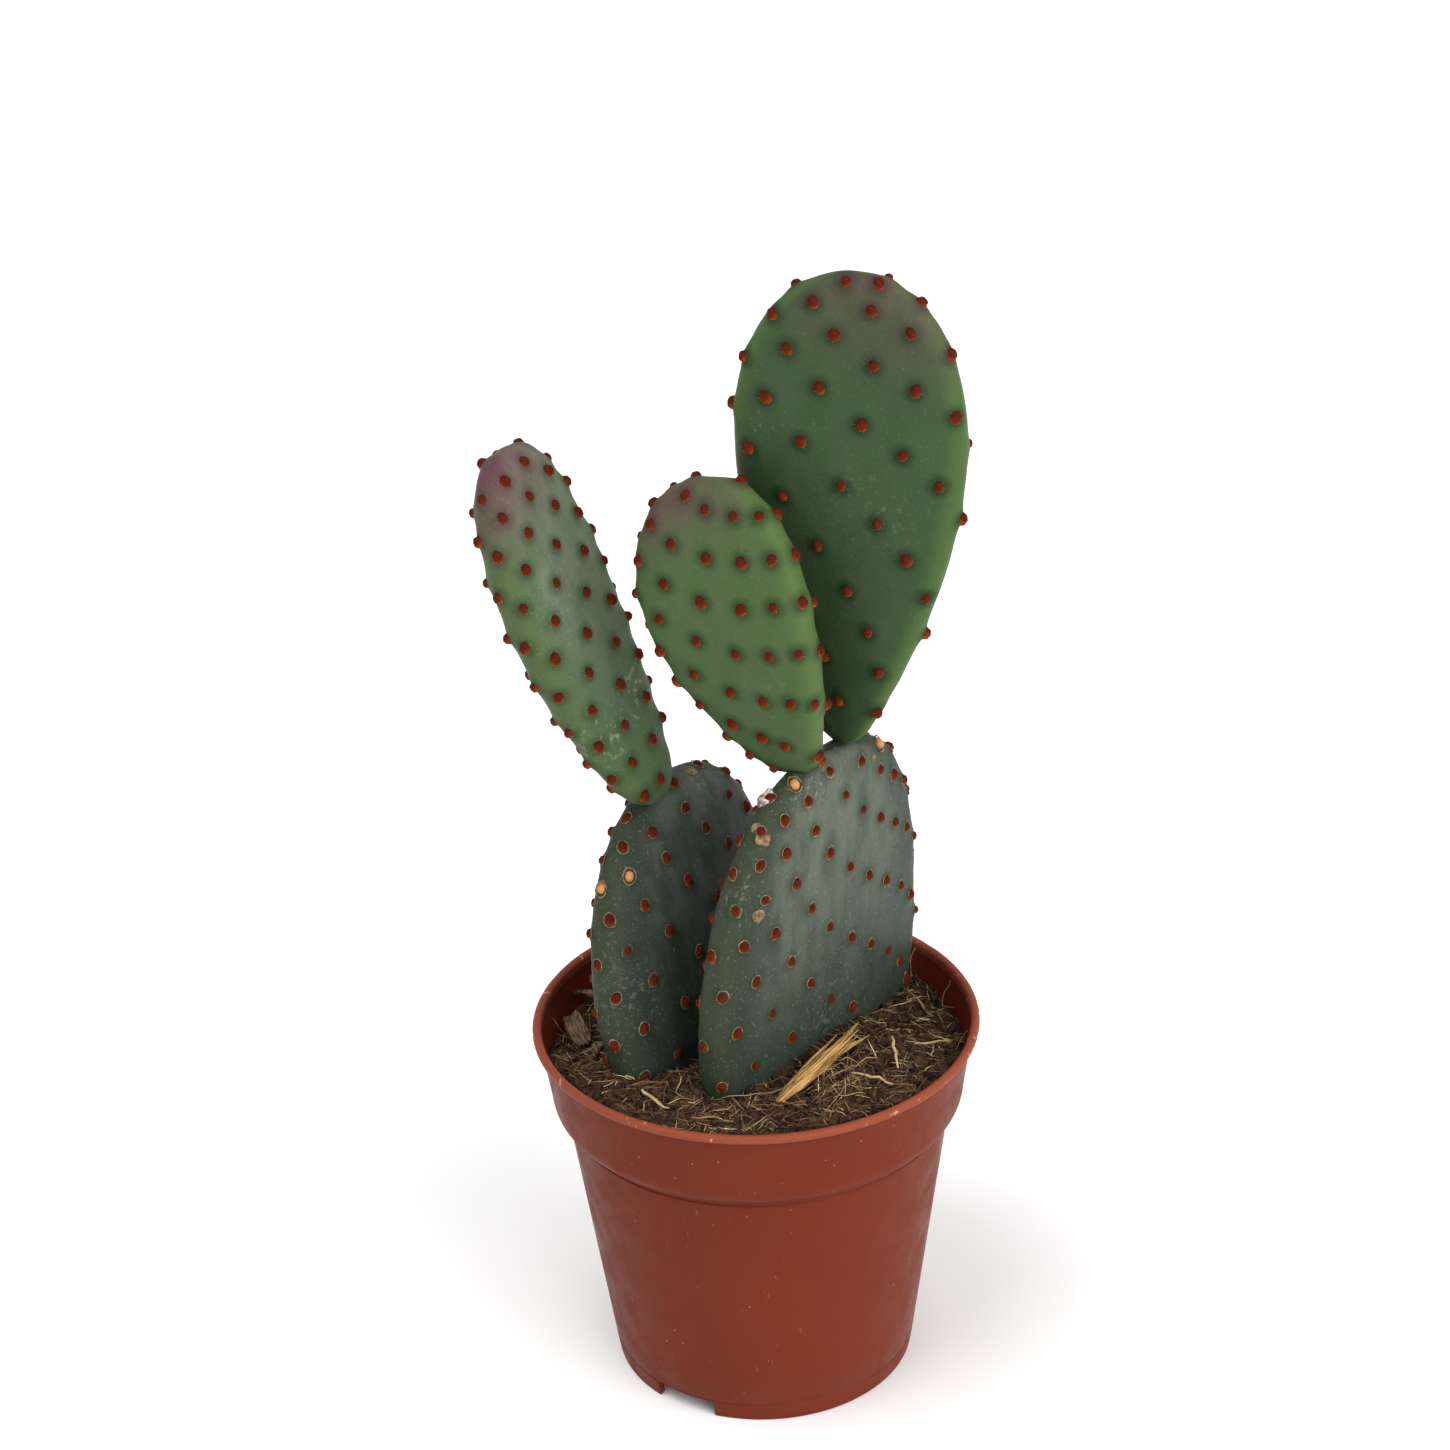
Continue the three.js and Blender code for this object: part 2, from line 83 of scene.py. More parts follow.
# Pot, mm
LIP_WIDTH = 1.75
LIP_HEIGHT = 1.9
COLLAR_TOP_RADIUS = 41.2
COLLAR_FOOT_RADIUS = 39.5
COLLAR_FOOT_Z = 60.0
SHOULDER_Z = 55.5
BODY_TOP_RADIUS = 36.8
CREASE_Z = 54.7
CREASE_DEPTH = 0.3
FOOT_RADIUS = 29.0
FOOT_RING_WIDTH = 1.5
FOOT_LINE_Z = 3.9
WALL = 0.9
FLOOR_Z = 4.2
NOTCH_WIDTH = 12.6
NOTCH_ANGLES = (-123.5, 56.5)
DRAIN_RADIUS = 2.6
DRAIN_CIRCLE = 17.0
DRAIN_COUNT = 6

# Soil, mm
SOIL_LEVEL = 66.6
SOIL_FRONT_RISE = 4.6
SOIL_MOUNDS = (
    {"x": 18, "y": -5, "radius": 17, "height": 4.2},
    {"x": -31, "y": 10, "radius": 14, "height": -3.6},
    {"x": 26, "y": 12, "radius": 12, "height": 1.2},
)
SOIL_FOOT_Z = 5.6
SOIL_GAP = 0.2
CRUMB_SAMPLES = 5
FIBRE_SAMPLES = 14

# Litter on the soil, as points in plan, with the height of each above the soil
SPLINTER_FROM = (3.6, -32.0)
SPLINTER_TO = (19.6, -7.0)
CHIP_FROM = (-35.9, 13.0)
CHIP_TO = (-33.0, 2.5)
STRAWS = (
    {"ends": ((-25.9, -8.6), (-23.4, -12.7)), "width": 0.55, "lift": (1.0, 0.4), "tone": 0.95},
    {"ends": ((-25.8, -16.2), (-22.9, -17.9)), "width": 0.5, "lift": (0.9, 0.5), "tone": 1.0},
    {"ends": ((-21.9, -22.8), (-16.6, -30.0)), "width": 0.7, "lift": (0.7, 0.6), "tone": 0.9},
    {"ends": ((25.4, -9.0), (25.9, -19.2)), "width": 0.6, "lift": (2.0, 0.8), "tone": 0.92},
    {"ends": ((29.6, -9.3), (36.4, -6.8)), "width": 0.55, "lift": (1.2, 1.1), "tone": 0.85},
    {"ends": ((17.3, -20.5), (24.8, -23.6)), "width": 0.65, "lift": (0.9, 0.9), "tone": 0.9},
    {"ends": ((8.0, -20.5), (2.0, -25.5)), "width": 0.5, "lift": (1.0, 0.5), "tone": 0.7},
    {"ends": ((-4.0, -33.5), (-12.5, -33.0)), "width": 0.5, "lift": (0.6, 0.8), "tone": 0.72},
    {"ends": ((30.0, 14.0), (34.0, 5.0)), "width": 0.45, "lift": (0.8, 0.8), "tone": 0.7},
    {"ends": ((-6.0, 26.0), (4.5, 30.5)), "width": 0.6, "lift": (0.8, 0.8), "tone": 0.8},
    {"ends": ((-24.0, 27.0), (-17.0, 30.0)), "width": 0.5, "lift": (0.9, 0.6), "tone": 0.85},
)

# Pads, mm. foot: centre of the buried or joined end. lean: drift sideways and backwards per mm of
# height. facing: turn of the flat side about the pad's own axis in radians, changing by twist along
# it. lower, upper: how blunt the two ends of the outline are; end keeps the lower one from closing
# to a point, and the share rounding of the length is rounded off there. bow, cup, sway: bend along
# the pad, hollow across it and sideways bend. Tufts follow one spiral: each is turn round the pad
# and step down it after the one before, from start and first on. ease, edge_drop and face_drop
# shift them along the pad, crowd and drift round it. blush: purple on the upper end, towards
# blush_angle of the section.
PADS = {
    "base_pad_left": {
        "foot": (-9.11, 1.0, 53.61), "lean": (-0.072, 0.168), "facing": 0.922, "twist": -0.11,
        "length": 67.8, "half_width": 26.64, "half_thick": 7.2, "lower": 0.369, "upper": 0.454,
        "bow": -0.13, "cup": -0.55, "sway": -0.66, "end": 0.04, "rounding": 0.1,
        "turn": 0.2173, "step": 0.0091, "start": 0.3338, "first": 0.2364, "ease": 0.255,
        "crowd": 0.487, "edge_drop": 0.032, "face_drop": 0.003, "drift": -0.023,
        "blush": 0.0, "blush_angle": 0.0, "kind": "old",
    },
    "base_pad_right": {
        "foot": (9.73, 3.0, 53.64), "lean": (0.048, -0.135), "facing": 0.892, "twist": -0.057,
        "length": 80.04, "half_width": 31.28, "half_thick": 7.18, "lower": 0.227, "upper": 0.366,
        "bow": -0.98, "cup": 1.26, "sway": -1.79, "end": 0.04, "rounding": 0.1,
        "turn": 0.1784, "step": 0.0075, "start": 0.3726, "first": 0.1993, "ease": 0.306,
        "crowd": 0.344, "edge_drop": 0.061, "face_drop": 0.0, "drift": 0.002,
        "blush": 0.0, "blush_angle": 0.0, "kind": "old",
    },
    "top_pad_left": {
        "foot": (-16.53, 3.0, 118.28), "lean": (-0.382, 0.075), "facing": 1.014, "twist": 0.186,
        "length": 73.2, "half_width": 13.44, "half_thick": 5.69, "lower": 0.685, "upper": 0.334,
        "bow": -0.98, "cup": 0.85, "sway": -1.97, "end": 0.076, "rounding": 0.06,
        "turn": 0.1317, "step": 0.0106, "start": -0.1387, "first": -0.1395, "ease": 0.042,
        "crowd": 0.263, "edge_drop": 0.034, "face_drop": 0.079, "drift": -0.01,
        "blush": 1.0, "blush_angle": 2.7, "kind": "middling",
    },
    "top_pad_middle": {
        "foot": (9.01, -10.0, 130.09), "lean": (-0.263, -0.034), "facing": -0.558, "twist": 0.254,
        "length": 60.62, "half_width": 16.57, "half_thick": 6.0, "lower": 0.718, "upper": 0.443,
        "bow": 2.33, "cup": 2.03, "sway": -0.91, "end": 0.039, "rounding": 0.06,
        "turn": -0.3607, "step": 0.0123, "start": 0.3981, "first": 0.1268, "ease": 0.208,
        "crowd": 0.226, "edge_drop": 0.04, "face_drop": -0.002, "drift": 0.053,
        "blush": 0.8, "blush_angle": 2.9, "kind": "fresh",
    },
    "top_pad_tall": {
        "foot": (16.57, -2.5, 132.1), "lean": (0.031, -0.096), "facing": -0.433, "twist": 0.808,
        "length": 93.35, "half_width": 20.7, "half_thick": 6.11, "lower": 0.957, "upper": 0.48,
        "bow": -0.4, "cup": 1.19, "sway": 1.08, "end": 0.079, "rounding": 0.06,
        "turn": -0.1794, "step": 0.0122, "start": 0.2703, "first": 0.1499, "ease": 0.391,
        "crowd": 0.102, "edge_drop": 0.029, "face_drop": 0.024, "drift": 0.053,
        "blush": 0.45, "blush_angle": 0.4, "kind": "deep",
    },
}
SQUARENESS = 0.8
TUFT_SPACING = 3.6
TUFT_CLEARANCE = 1.64
TUFT_NUMBERS = range(-40, 160)
TUFT_SAMPLES = 8
# Finish of each kind of skin: wax on it, dark halos round the tufts, colour at the margins and pale
# flecks, each with its strength where that differs between kinds
SKINS = {
    "old": {
        "name": "glaucous old skin", "slot": "old_pad_skin",
        "bloom": (0.125, 0.142, 0.108), "bloom_most": 0.7, "bloom_face": True,
        "halo": (0.018, 0.028, 0.016), "halo_most": 0.55, "margin": (0.04, 0.05, 0.026),
        "flecks": 0.3,
    },
    "middling": {
        "name": "grey-green skin", "slot": "young_pad_skin",
        "bloom": (0.15, 0.18, 0.12), "bloom_most": 0.85, "bloom_face": True,
        "halo": (0.02, 0.042, 0.016), "halo_most": 0.7, "margin": (0.075, 0.11, 0.04),
        "flecks": 0.22,
    },
    "fresh": {
        "name": "fresh green skin", "slot": "young_pad_skin",
        "bloom": (0.075, 0.108, 0.05), "bloom_most": 0.6, "bloom_face": False,
        "halo": (0.012, 0.032, 0.01), "halo_most": 0.75, "margin": (0.07, 0.118, 0.027),
        "flecks": 0.12,
    },
    "deep": {
        "name": "deep green skin", "slot": "young_pad_skin",
        "bloom": (0.045, 0.072, 0.035), "bloom_most": 0.5, "bloom_face": False,
        "halo": (0.01, 0.026, 0.009), "halo_most": 0.85, "margin": (0.065, 0.12, 0.026),
        "flecks": 0.1,
    },
}

# Marks on the skin, each placed by the share of the pad's length and the angle of its section
CORK = {
    "base_pad_right": (
        {"at": (0.915, 3.17), "radius": 0.9}, {"at": (0.9, 2.83), "radius": 1.3},
        {"at": (0.728, 2.46), "radius": 1.35}, {"at": (0.93, 0.9), "radius": 0.7},
        {"at": (0.62, -1.9), "radius": 1.2},
    ),
    "base_pad_left": (
        {"at": (0.757, 3.2), "radius": 1.3}, {"at": (0.984, 1.25), "radius": 1.1},
        {"at": (0.5, -1.3), "radius": 1.0},
    ),
}
SCAR_AT = (0.953, 3.6)  # on the right-hand base pad
DRY_TUFTS = {
    "base_pad_left": ((0.789, 2.65), (0.757, 3.2), (0.995, 1.1)),
    "base_pad_right": ((0.987, 2.83), (0.949, 0.175), (0.56, -1.2)),
}
# Scuffed patches, as share of length, angle, reach along the pad and strength
SCUFFS = {
    "top_pad_left": ((0.3, 1.31, 6.0, 0.9), (0.256, 2.3, 6.5, 0.8), (0.62, 1.7, 9.0, 0.35),
                     (0.4, -1.6, 7.0, 0.6)),
    "top_pad_middle": ((0.35, 1.2, 6.0, 0.25), (0.5, -1.4, 8.0, 0.4)),
    "top_pad_tall": ((0.7, 2.3, 2.5, 0.5), (0.55, 1.4, 9.0, 0.2), (0.6, -1.6, 9.0, 0.4)),
    "base_pad_right": ((0.97, 2.0, 6.0, 0.6), (0.8, 3.1, 6.0, 0.4), (0.3, 1.6, 12.0, 0.35),
                       (0.55, -1.5, 12.0, 0.4)),
    "base_pad_left": ((0.97, 1.0, 7.0, 0.5), (0.45, 2.6, 9.0, 0.3), (0.5, -1.4, 10.0, 0.4)),
}


# Settings that a user would change

class PotSettings(bpy.types.PropertyGroup):
    sides: IntProperty(
        name="Sides", description="Segments round the pot", default=240, min=48, max=512)
    body_colour: FloatVectorProperty(
        name="Body Colour", description="Colour of the wall of the pot", subtype="COLOR",
        default=(0.13, 0.0215, 0.0085), min=0, max=1)
    # Lighter than the body: a painted highlight of the light that the rounded lip catches
    lit_lip_colour: FloatVectorProperty(
        name="Lip Colour", description="Colour of the rounded lip", subtype="COLOR",
        default=(0.23, 0.052, 0.026), min=0, max=1)


class SoilSettings(bpy.types.PropertyGroup):
    divisions: IntProperty(
        name="Divisions", description="Faces across the soil", default=190, min=40, max=260)
    crumbs: IntProperty(
        name="Crumbs", description="Loose lumps of peat on the soil", default=620, min=0, max=2000)
    fibres: IntProperty(
        name="Fibres", description="Coir fibres on the soil", default=3700, min=0, max=6000)
    # Darker peat, also the colour of the painted shade in the soil's hollows
    dark: FloatVectorProperty(
        name="Dark Peat", description="Colour in the hollows", subtype="COLOR",
        default=(0.012, 0.008, 0.006), min=0, max=1)
    light: FloatVectorProperty(
        name="Light Peat", description="Colour on the crumbs", subtype="COLOR",
        default=(0.1, 0.05, 0.022), min=0, max=1)


class PadSettings(bpy.types.PropertyGroup):
    spacing: FloatProperty(
        name="Face Size", description="Size of the faces of a pad's skin", subtype="DISTANCE",
        unit="LENGTH", default=0.66 * MM, min=0.4 * MM, max=4 * MM)
    old_colour: FloatVectorProperty(
        name="Old Skin", description="Colour of the base pads", subtype="COLOR",
        default=(0.024, 0.036, 0.026), min=0, max=1)
    middling_colour: FloatVectorProperty(
        name="Middling Skin", description="Colour of the greyer upper pad", subtype="COLOR",
        default=(0.058, 0.098, 0.042), min=0, max=1)
    fresh_colour: FloatVectorProperty(
        name="Fresh Skin", description="Colour of the lighter of the green pads", subtype="COLOR",
        default=(0.044, 0.09, 0.026), min=0, max=1)
    deep_colour: FloatVectorProperty(
        name="Deep Skin", description="Colour of the darker of the green pads", subtype="COLOR",
        default=(0.029, 0.06, 0.02), min=0, max=1)


class TuftSettings(bpy.types.PropertyGroup):
    bristles: IntProperty(
        name="Loose Tips", description="Bristle tips round each tuft", default=9, min=0, max=12)
    radius: FloatProperty(
        name="Tuft Radius", description="Half the width of a tuft", subtype="DISTANCE",
        unit="LENGTH", default=1.0 * MM, min=0.3 * MM, max=2 * MM)
    height: FloatProperty(
        name="Tuft Height", description="Height of a tuft over the skin", subtype="DISTANCE",
        unit="LENGTH", default=1.1 * MM, min=0.3 * MM, max=3 * MM)


class StageSettings(bpy.types.PropertyGroup):
    key: FloatProperty(
        name="Key Light", description="Strength of the soft light from above and the left",
        default=1.25, min=0)
    side: FloatProperty(
        name="Side Light", description="Strength of the wide light from the front right",
        default=2.8, min=0)
    sky: FloatProperty(
        name="Sky", description="Strength of the even light from all round", default=0.74, min=0)
    lens: FloatProperty(
        name="Lens", description="Focal length on a 36 mm sensor", subtype="DISTANCE_CAMERA",
        default=86.9, min=10)


# General helpers

def deselect():
    bpy.ops.object.select_all(action="DESELECT")


def activate(piece):
    deselect()
    piece.select_set(True)
    bpy.context.view_layer.objects.active = piece


def points_of(piece):
    co = np.empty(len(piece.data.vertices) * 3)
    piece.data.vertices.foreach_get("co", co)
    return co.reshape(-1, 3)


def move_points(piece, points):
    piece.data.vertices.foreach_set("co", np.asarray(points, dtype=float).ravel())
    piece.data.update()


def normals_of(piece):
    n = np.empty(len(piece.data.vertices) * 3)
    piece.data.vertex_normals.foreach_get("vector", n)
    return n.reshape(-1, 3)


def to_frame(points):
    """From millimetres off the pot's axis to metres in the frame."""
    return (np.asarray(points, dtype=float) + (POT_X, POT_Y, 0)) * MM


def from_frame(points):
    return np.asarray(points, dtype=float) / MM - (POT_X, POT_Y, 0)


def paint(piece, name, values):
    """Stores a number for each point of a piece, or one for all, for its material to read."""
    layer = piece.data.attributes.get(name) or piece.data.attributes.new(name, "FLOAT", "POINT")
    layer.data.foreach_set("value", np.zeros(len(layer.data)) + values)


def apply_modifier(piece, kind, **settings):
    activate(piece)
    bpy.ops.object.modifier_add(type=kind)
    modifier = piece.modifiers[-1]
    for name, value in settings.items():
        setattr(modifier, name, value)
    bpy.ops.object.modifier_apply(modifier=modifier.name)


def finish_piece(piece, name, material, slot, replaces=None):
    """Names a piece, settles its place in its mesh and ties it to the frame."""
    activate(piece)
    bpy.ops.object.transform_apply(location=True, rotation=True, scale=True)
    piece.name = name
    piece.data.name = name
    piece.data.materials.clear()
    piece.data.materials.append(material)
    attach(piece, "root")
    if replaces:
        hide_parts(replaces)
    return piece


def face_outwards(piece):
    activate(piece)
    bpy.ops.object.mode_set(mode="EDIT")
    bpy.ops.mesh.select_all(action="SELECT")
    bpy.ops.mesh.remove_doubles(threshold=0.00001 * MM)
    bpy.ops.mesh.normals_make_consistent(inside=False)
    bpy.ops.object.mode_set(mode="OBJECT")


def join_copies(samples, placings):
    """Copies of sample pieces, each with its own mesh, joined in one. A placing is the number of
    the sample, its matrix in the frame and the numbers to paint on that copy."""
    copies = []
    for which, matrix, painted in placings:
        copy = samples[which].copy()
        copy.data = samples[which].data.copy()
        bpy.context.collection.objects.link(copy)
        copy.data.transform(matrix)
        copy.matrix_world = Matrix()
        for name, value in painted.items():
            paint(copy, name, value)
        copies.append(copy)
    return join_pieces(copies)


def join_pieces(pieces):
    deselect()
    for piece in pieces:
        piece.select_set(True)
    bpy.context.view_layer.objects.active = pieces[0]
    bpy.ops.object.join()
    return pieces[0]


def discard(pieces):
    for piece in pieces:
        mesh = piece.data
        bpy.data.objects.remove(piece)
        bpy.data.meshes.remove(mesh)


# Material helpers

def add(tree, kind, values=None, links=None, **settings):
    """A shader node with its settings, socket values and incoming links."""
    made = tree.nodes.new(kind)
    for name, value in settings.items():
        setattr(made, name, value)
    for name, value in (values or {}).items():
        made.inputs[name].default_value = value
    for name, source in (links or {}).items():
        tree.links.new(source, made.inputs[name])
    return made


def new_material(name, sockets):
    material = bpy.data.materials.new(name)
    material.use_nodes = True
    tree = material.node_tree
    shader = tree.nodes["Principled BSDF"]
    for socket, value in sockets.items():
        shader.inputs[socket].default_value = value
    material.diffuse_color = shader.inputs["Base Color"].default_value
    return material, tree, shader


def blend(tree, factor, first, second):
    """Mixes two colours, each a value or a socket, by a factor that is a number or a socket."""
    made = add(tree, "ShaderNodeMix", data_type="RGBA")
    for place, value in ((0, factor), (6, first), (7, second)):
        if isinstance(value, bpy.types.NodeSocket):
            tree.links.new(value, made.inputs[place])
        else:
            made.inputs[place].default_value = value if place == 0 else (*value[:3], 1)
    return made.outputs[2]


def ramp(tree, value, low, high, to_low=0.0, to_high=1.0, smooth=True):
    made = add(tree, "ShaderNodeMapRange", {1: low, 2: high, 3: to_low, 4: to_high}, {0: value},
               interpolation_type="SMOOTHSTEP" if smooth else "LINEAR")
    return made.outputs[0]


def maths(tree, operation, first, second):
    made = add(tree, "ShaderNodeMath", operation=operation)
    for place, value in enumerate((first, second)):
        if isinstance(value, bpy.types.NodeSocket):
            tree.links.new(value, made.inputs[place])
        else:
            made.inputs[place].default_value = value
    return made.outputs[0]


def speckle(tree, where, per_mm, detail=3.0, roughness=0.55):
    """Noise with about this many features to the millimetre."""
    values = {"Scale": per_mm / MM, "Detail": detail, "Roughness": roughness}
    return add(tree, "ShaderNodeTexNoise", values, {"Vector": where}).outputs[0]


def painted(tree, name):
    return add(tree, "ShaderNodeAttribute", attribute_name=name).outputs["Fac"]


def object_coordinates(tree):
    return add(tree, "ShaderNodeTexCoord").outputs["Object"]


def bumped(tree, shader, height, distance, strength=1.0):
    bump = add(tree, "ShaderNodeBump", {"Strength": strength, "Distance": distance * MM},
               {"Height": height})
    tree.links.new(bump.outputs[0], shader.inputs["Normal"])


# Shape of a pad

def taper(u, lower, upper, end):
    def shape(t):
        return (t + end) ** lower * np.maximum(1 - t, 0) ** upper
    return shape(u) / shape((lower - upper * end) / (lower + upper))


def half_sizes(pad, u):
    """Half width and half thickness at the share u of the length."""
    u = np.asarray(u, dtype=float)
    root = np.sqrt(np.maximum(0, 1 - np.maximum(0, 1 - u / pad["rounding"]) ** 2))
    lower, upper, end = pad["lower"], pad["upper"], pad["end"]
    return (
        pad["half_width"] * taper(u, lower, upper, end) * root,
        pad["half_thick"] * taper(u, 0.8 * lower, 0.9 * upper, end) * root,
    )


def section_point(half_width, half_thick, angle):
    c, s = np.cos(angle), np.sin(angle)
    return (
        np.sign(c) * np.abs(c) ** SQUARENESS * half_width,
        np.sign(s) * np.abs(s) ** SQUARENESS * half_thick,
    )


def turned(vector, axis, angle):
    """A vector turned about an axis by each of several angles."""
    angle = np.asarray(angle, dtype=float)[:, None]
    return (vector * np.cos(angle) + np.cross(axis, vector) * np.sin(angle)
            + axis * (axis @ vector) * (1 - np.cos(angle)))


def place(pad, u, across, through):
    """From across and through the pad at the share u of its length to points in space."""
    u = np.atleast_1d(u)
    axis = np.array((*pad["lean"], 1.0))
    axis /= np.linalg.norm(axis)
    out = np.array((0.0, -1.0, 0.0)) + axis * axis[1]
    out /= np.linalg.norm(out)
    side = np.cross(axis, out)
    facing = pad["facing"] + pad["twist"] * (u - 0.5)
    hump = 4 * u * (1 - u)
    sideways = across + pad["sway"] * hump
    outwards = through + pad["cup"] * (across / pad["half_width"]) ** 2 + pad["bow"] * hump
    return (np.array(pad["foot"]) + axis * (pad["length"] * u)[:, None]
            + turned(side, axis, facing) * sideways[:, None]
            + turned(out, axis, facing) * outwards[:, None])


def pad_point(pad, u, angle):
    u, angle = np.atleast_1d(u), np.atleast_1d(angle)
    return place(pad, u, *section_point(*half_sizes(pad, u), angle))


def girth_angles(half_width, half_thick, shares):
    """Angles of the section at these shares of its girth."""
    angles = np.linspace(0, TURN, 65)
    x, z = section_point(half_width, half_thick, angles)
    lengths = np.concatenate(([0], np.cumsum(np.hypot(np.diff(x), np.diff(z)))))
    return np.interp(np.mod(shares, 1) * lengths[-1], lengths, angles)


def tuft_seat(pad, n):
    """Where tuft number n sits: share of the length and angle of the section."""
    q = pad["start"] + n * pad["turn"] + pad["drift"] * (n / 40 - 0.5) ** 2
    down = 1 - pad["first"] - n * pad["step"]
    swell = (pad["ease"] / 4 + pad["face_drop"] * math.sin(TURN * q)
             + pad["edge_drop"] * math.cos(2 * TURN * q))
    u = down + swell * 4 * down * (1 - down)
    if not 0.045 < u < 0.992:
        return None
    girth = q - pad["crowd"] / (2 * TURN) * math.sin(2 * TURN * q)
    width, thick = half_sizes(pad, u)
    return u, float(girth_angles(width, thick, girth))


def outward(pad, u, angle):
    along = pad_point(pad, u + 0.004, angle)[0] - pad_point(pad, u - 0.004, angle)[0]
    around = pad_point(pad, u, angle + 0.05)[0] - pad_point(pad, u, angle - 0.05)[0]
    normal = np.cross(along, around)
    return normal / np.linalg.norm(normal)


def smoothstep(t):
    t = np.clip(t, 0, 1)
    return t * t * (3 - 2 * t)


def soil_top(x, y):
    """Height of the soil without its crumbs."""
    rough = np.sin(0.61 * x + 1.7) * np.cos(0.53 * y - 0.4) + 0.6 * np.sin(1.13 * x - 0.9 * y)
    top = SOIL_LEVEL + SOIL_FRONT_RISE * smoothstep((8 - y) / 34) + 0.45 * rough
    for m in SOIL_MOUNDS:
        reach = (x - m["x"]) ** 2 + (y - m["y"]) ** 2
        top = top + m["height"] * np.exp(-reach / (0.5 * m["radius"] ** 2))
    return top


def inner_radius(z):
    """Radius of the inside of the pot."""
    heights, radii = zip(*[(height, radius) for radius, height in INSIDE])
    return np.interp(z, heights, radii)


# Inside of the pot as radius and height, from the floor up
INSIDE = (
    (FOOT_RADIUS + FLOOR_Z * 0.14 - WALL, FLOOR_Z + WALL),
    (BODY_TOP_RADIUS - WALL - 0.15, CREASE_Z - 1.2),
    (BODY_TOP_RADIUS - WALL + 0.1, SHOULDER_Z + 0.5),
    (COLLAR_FOOT_RADIUS - WALL, SHOULDER_Z + 3.2),
    (LIP_RADIUS - LIP_WIDTH, POT_HEIGHT - LIP_HEIGHT),
)


# Materials

def pot_material(settings):
    body, lip = tuple(settings.body_colour), tuple(settings.lit_lip_colour)
    material, tree, shader = new_material("terracotta coloured plastic", {
        "Base Color": (*body, 1), "IOR": 1.49, "Roughness": 0.42,
        "Specular IOR Level": 0.07})
    where = object_coordinates(tree)
    parts = add(tree, "ShaderNodeSeparateXYZ", None, {0: where})
    height = parts.outputs["Z"]
    cloud = speckle(tree, where, 0.05, 4)
    colour = blend(tree, ramp(tree, cloud, 0.35, 0.7, 0, 0.5), body,
                   [c * k for c, k in zip(body, (1.12, 1.16, 1.16))])
    worn = speckle(tree, where, 0.6, 5)
    # The lip gets its own lighter colour, a painted highlight of the light that the rounded bead
    # catches
    lip_part = ramp(tree, height, (POT_HEIGHT - 2.6) * MM, (POT_HEIGHT - 1.2) * MM)
    colour = blend(tree, lip_part, colour, lip)
    nicks = maths(tree, "MULTIPLY", ramp(tree, worn, 0.63, 0.7), lip_part)
    colour = blend(tree, maths(tree, "MULTIPLY", nicks, 0.55), colour, (0.72, 0.36, 0.26))
    # Painted shadow: a dark band just under the lip, where the bead shades the collar
    shade = ramp(tree, height, (POT_HEIGHT - 3.2) * MM, (POT_HEIGHT - LIP_HEIGHT - 0.05) * MM)
    painted_lip_shadow = maths(tree, "SUBTRACT", shade, lip_part)
    colour = blend(tree, ramp(tree, painted_lip_shadow, 0.1, 0.9, 0, 0.35), colour, (0.06, 0.012, 0.008))
    colour = blend(tree, dust_specks(tree, where), colour, (0.5, 0.33, 0.27))
    colour = blend(tree, rubbed_streaks(tree, where), colour, (0.5, 0.25, 0.19))
    tree.links.new(colour, shader.inputs["Base Color"])
    patchy = speckle(tree, where, 0.18, 6)
    tree.links.new(ramp(tree, patchy, 0.3, 0.75, 0.36, 0.56), shader.inputs["Roughness"])
    grain = maths(tree, "ADD", speckle(tree, where, 2.6, 2),
                  maths(tree, "MULTIPLY", speckle(tree, where, 0.45, 3), 0.25))
    bumped(tree, shader, grain, 0.04, 0.35)
    return material


def dust_specks(tree, where):
    """Sparse pale grains, thicker in some places."""
    grain = add(tree, "ShaderNodeTexVoronoi", {"Scale": 0.62 / MM, "Randomness": 1.0},
                {"Vector": where})
    small = ramp(tree, grain.outputs["Distance"], 0.17, 0.07)
    tint = add(tree, "ShaderNodeSeparateColor", None, {0: grain.outputs["Color"]})
    few = ramp(tree, tint.outputs[0], 0.84, 0.9)
    region = ramp(tree, speckle(tree, where, 0.06, 3), 0.42, 0.62, 0.08, 0.36)
    return maths(tree, "MULTIPLY", maths(tree, "MULTIPLY", small, few), region)


def rubbed_streaks(tree, where):
    """Faint upright rubs."""
    squeezed = add(tree, "ShaderNodeMapping", {"Scale": (1.0, 1.0, 0.16)}, {"Vector": where})
    streak = ramp(tree, speckle(tree, squeezed.outputs[0], 0.9, 4), 0.66, 0.76)
    region = ramp(tree, speckle(tree, where, 0.08, 2), 0.52, 0.66, 0, 0.3)
    return maths(tree, "MULTIPLY", streak, region)


